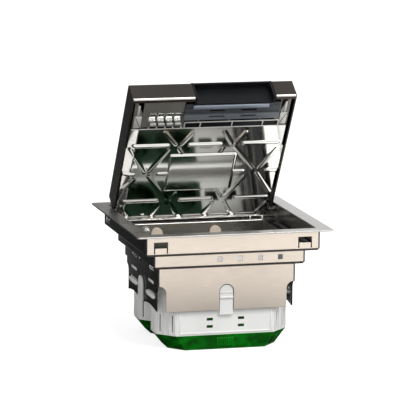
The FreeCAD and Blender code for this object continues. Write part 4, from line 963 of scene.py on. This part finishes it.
class FLOORBOX_OT_header_rail(bpy.types.Operator):
    """Rail of dark windows along the header, the comb's lower row of tabs and the gussets' panels, whose pale
    faces and dark leaning lines are a painted reflection
    """

    bl_idname = "floorbox.header_rail"
    bl_label = "Header rail, comb tabs and gusset panels"

    def execute(self, context):
        backing = [bar("back", (97.2, 7.2, 0.16), (22.6, -125.5, -6.08), 0.04),
                   bar("back", (33.4, 3.2, 0.16), (-46.3, -122.9, -6.08), 0.04)]
        seat(merged(backing, "rail_windows"), LID, "black", "lid")
        rail = [bar("rail", (160.6, 1.0, 0.7), (0, -121.6, -6.3), 0.2),
                bar("rail", (97.6, 1.3, 1.0), (22.6, -129.3, -6.5), 0.3)]
        rail += [bar("rail", (1.3, 7.6, 0.7), (x, -125.4, -6.3), 0.2) for x in TALL_POSTS]
        rail += [bar("rail", (1.5, 2.6, 0.7), (x, -122.9, -6.3), 0.2) for x in SHORT_POSTS]
        seat(merged(rail, "header_rail"), LID, "panel", "lid")
        row = []
        for x in COMB_TABS:
            strip = arc_strip("tab", 2.3, 6.4, 184.0, 356.0, 0.4)
            strip.data.transform(Matrix.Translation(Vector((x, COMB_TAB_Y, COMB_TAB_Z)) * MM))
            row.append(strip)
        seat(merged(row, "comb_lower_tabs"), LID, "comb tab", "lid")
        panels, lines = [], []
        for sign in (-1.0, 1.0):
            panels.append(bar("panel", (7.6, 15.0, 0.5), (sign * GUSSET_X, GUSSET_Y, GUSSET_Z), 0.15))
            panels.append(bar("panel", (2.2, 13.0, 0.5), (sign * 76.0, -146.6, GUSSET_Z), 0.15))
            line = bar("line", (0.55, 15.2, 0.3), (0, 0, 0), 0.1)
            line.data.transform(Matrix.Translation(Vector((sign * GUSSET_X, GUSSET_Y, GUSSET_LINE_Z)) * MM)
                                @ Matrix.Rotation(math.radians(sign * GUSSET_LEAN), 4, "Z"))
            lines.append(line)
        # Pale panels split by dark leaning lines: a painted diagonal reflection on the brackets.
        seat(merged(panels, "gusset_panels"), LID, "panel", "lid")
        seat(merged(lines, "gusset_lines"), LID, "rubber", "lid")
        return {"FINISHED"}


BOX_HALF_WIDE, BOX_HALF_LONG, BOX_CORNER, BOX_MIDDLE = 67.2, 26.75, 17.0, -34.25
RIB_SIZE, RIB_ABOVE = (1.5, 1.7, 47.0), 24.9
CORNER_SHARES, SIDE_SHIFTS = (0.07, 0.36, 0.64, 0.93), (-7.6, -1.2, 5.6)
FRAME_HALF, FRAME_LOW, FRAME_TOP = 47.0, 2.2, 24.6
# Beads across a box's key as (height, radius).
KEY_BEADS = ((52.6, 1.5), (57.6, 0.9))


class FLOORBOX_OT_box_ribs(bpy.types.Operator):
    """Corner ribs, front frame and key beads moulded on the device boxes"""

    bl_idname = "floorbox.box_ribs"
    bl_label = "Device box mouldings"

    def execute(self, context):
        for row, turn in (("front", 0.0), ("rear", 180.0)):
            low, high = (Vector(corner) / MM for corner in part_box(f"device_box_{row}"))
            spin = Matrix.Rotation(math.radians(turn), 4, "Z")
            ribs = []
            for sign in (-1.0, 1.0):
                for share in CORNER_SHARES:
                    x = BOX_HALF_WIDE - BOX_CORNER + BOX_CORNER * share
                    y = BOX_MIDDLE - (BOX_HALF_LONG - BOX_CORNER * share)
                    rib = bar("rib", RIB_SIZE, (0, 0, 0), 0.35)
                    rib.data.transform(Matrix.Translation(Vector((sign * x, y, low.z + RIB_ABOVE)) * MM)
                                       @ Matrix.Rotation(math.radians(sign * 45.0), 4, "Z"))
                    ribs.append(rib)
                for shift in SIDE_SHIFTS:
                    spot = (sign * (BOX_HALF_WIDE + 0.1), BOX_MIDDLE + shift, low.z + RIB_ABOVE)
                    ribs.append(bar("rib", RIB_SIZE, spot, 0.35))
            seat(merged(ribs, f"box_ribs_{row}"), spin, "white", "base")
            face = BOX_MIDDLE - BOX_HALF_LONG
            frame_bars = [bar("bar", (2 * FRAME_HALF, 1.0, 1.8), (0, face, low.z + z), 0.4)
                          for z in (FRAME_LOW, FRAME_TOP)]
            frame_bars += [bar("bar", (1.8, 1.0, 24.2), (x, face, low.z + 13.4), 0.4)
                           for x in (-FRAME_HALF, FRAME_HALF)]
            seat(merged(frame_bars, f"box_frame_{row}"), spin, "white", "base")
            beads = []
            for z, radius in KEY_BEADS:
                bead = arc_strip("bead", radius, 13.2, 90.0, 270.0, radius * 0.9)
                bead.location = Vector((0, low.y if turn == 0.0 else -high.y, z)) * MM
                beads.append(bead)
            seat(merged(beads, f"key_beads_{row}"), spin, "white", "base")
        return {"FINISHED"}


SCREW_RADIUS, SCREW_HIGH, SCREW_EDGE = 2.6, 1.7, 0.7
SCREWS_X, SCREWS_Y, SCREW_SUNK = (-62.0, 62.0), (5.6, 59.6), 0.1


class FLOORBOX_OT_screws(bpy.types.Operator):
    """Pan-head screws with cross recesses that hold the decks"""

    bl_idname = "floorbox.screws"
    bl_label = "Deck screws"

    def execute(self, context):
        clear_selection()
        bpy.ops.mesh.primitive_cylinder_add(vertices=40, radius=SCREW_RADIUS * MM, depth=SCREW_HIGH * MM,
                                            location=(0, 0, SCREW_HIGH / 2 * MM))
        screw = added("screw")
        bpy.ops.object.transform_apply(location=True, rotation=True, scale=True)
        rounded(screw, SCREW_EDGE * MM, 4)
        for turn in (0.0, 90.0):
            cutter = bar("cutter", (3.0, 0.75, 1.6), (0, 0, 1.5), 0.1)
            cutter.data.transform(Matrix.Rotation(math.radians(turn), 4, "Z"))
            cut(screw, cutter)
        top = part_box("device_deck_front")[1][2] / MM
        for row, sign in (("front", -1.0), ("rear", 1.0)):
            spots = [(x, sign * y, top - SCREW_SUNK) for x in SCREWS_X for y in SCREWS_Y]
            screws = merged(copy_at(twin_of(screw), spots), f"deck_screws_{row}")
            seat(screws, BASE, "bright", "base")
        bpy.data.objects.remove(screw)
        return {"FINISHED"}


class FLOORBOX_PT_panel(bpy.types.Panel):
    """Buttons for each step of the box, and its colour and stage settings"""

    bl_idname = "FLOORBOX_PT_panel"
    bl_label = "Floor Box"
    bl_space_type = "VIEW_3D"
    bl_region_type = "UI"
    bl_category = "Floor Box"

    def draw(self, context):
        layout = self.layout
        for operator in STEPS:
            layout.operator(operator.bl_idname)
        for group in (context.scene.box_colours, context.scene.box_stage):
            column = layout.column()
            for name in group.__annotations__:
                column.prop(group, name)


STEPS = (
    FLOORBOX_OT_stage,
    FLOORBOX_OT_finishes,
    FLOORBOX_OT_inner_plate,
    FLOORBOX_OT_lid_trims,
    FLOORBOX_OT_header_rail,
    FLOORBOX_OT_side_catches,
    FLOORBOX_OT_band_shadow_lips,
    FLOORBOX_OT_data_frames,
    FLOORBOX_OT_box_ribs,
    FLOORBOX_OT_screws,
)
CLASSES = (BoxColours, BoxStage, *STEPS, FLOORBOX_PT_panel)


def register():
    for cls in CLASSES:
        bpy.utils.register_class(cls)
    bpy.types.Scene.box_colours = bpy.props.PointerProperty(type=BoxColours)
    bpy.types.Scene.box_stage = bpy.props.PointerProperty(type=BoxStage)


def unregister():
    del bpy.types.Scene.box_stage
    del bpy.types.Scene.box_colours
    for cls in reversed(CLASSES):
        bpy.utils.unregister_class(cls)


def main():
    """Makes every piece in order."""
    register()
    for operator in STEPS:
        group, name = operator.bl_idname.split(".")
        getattr(getattr(bpy.ops, group), name)()


if __name__ == "__main__":
    main()
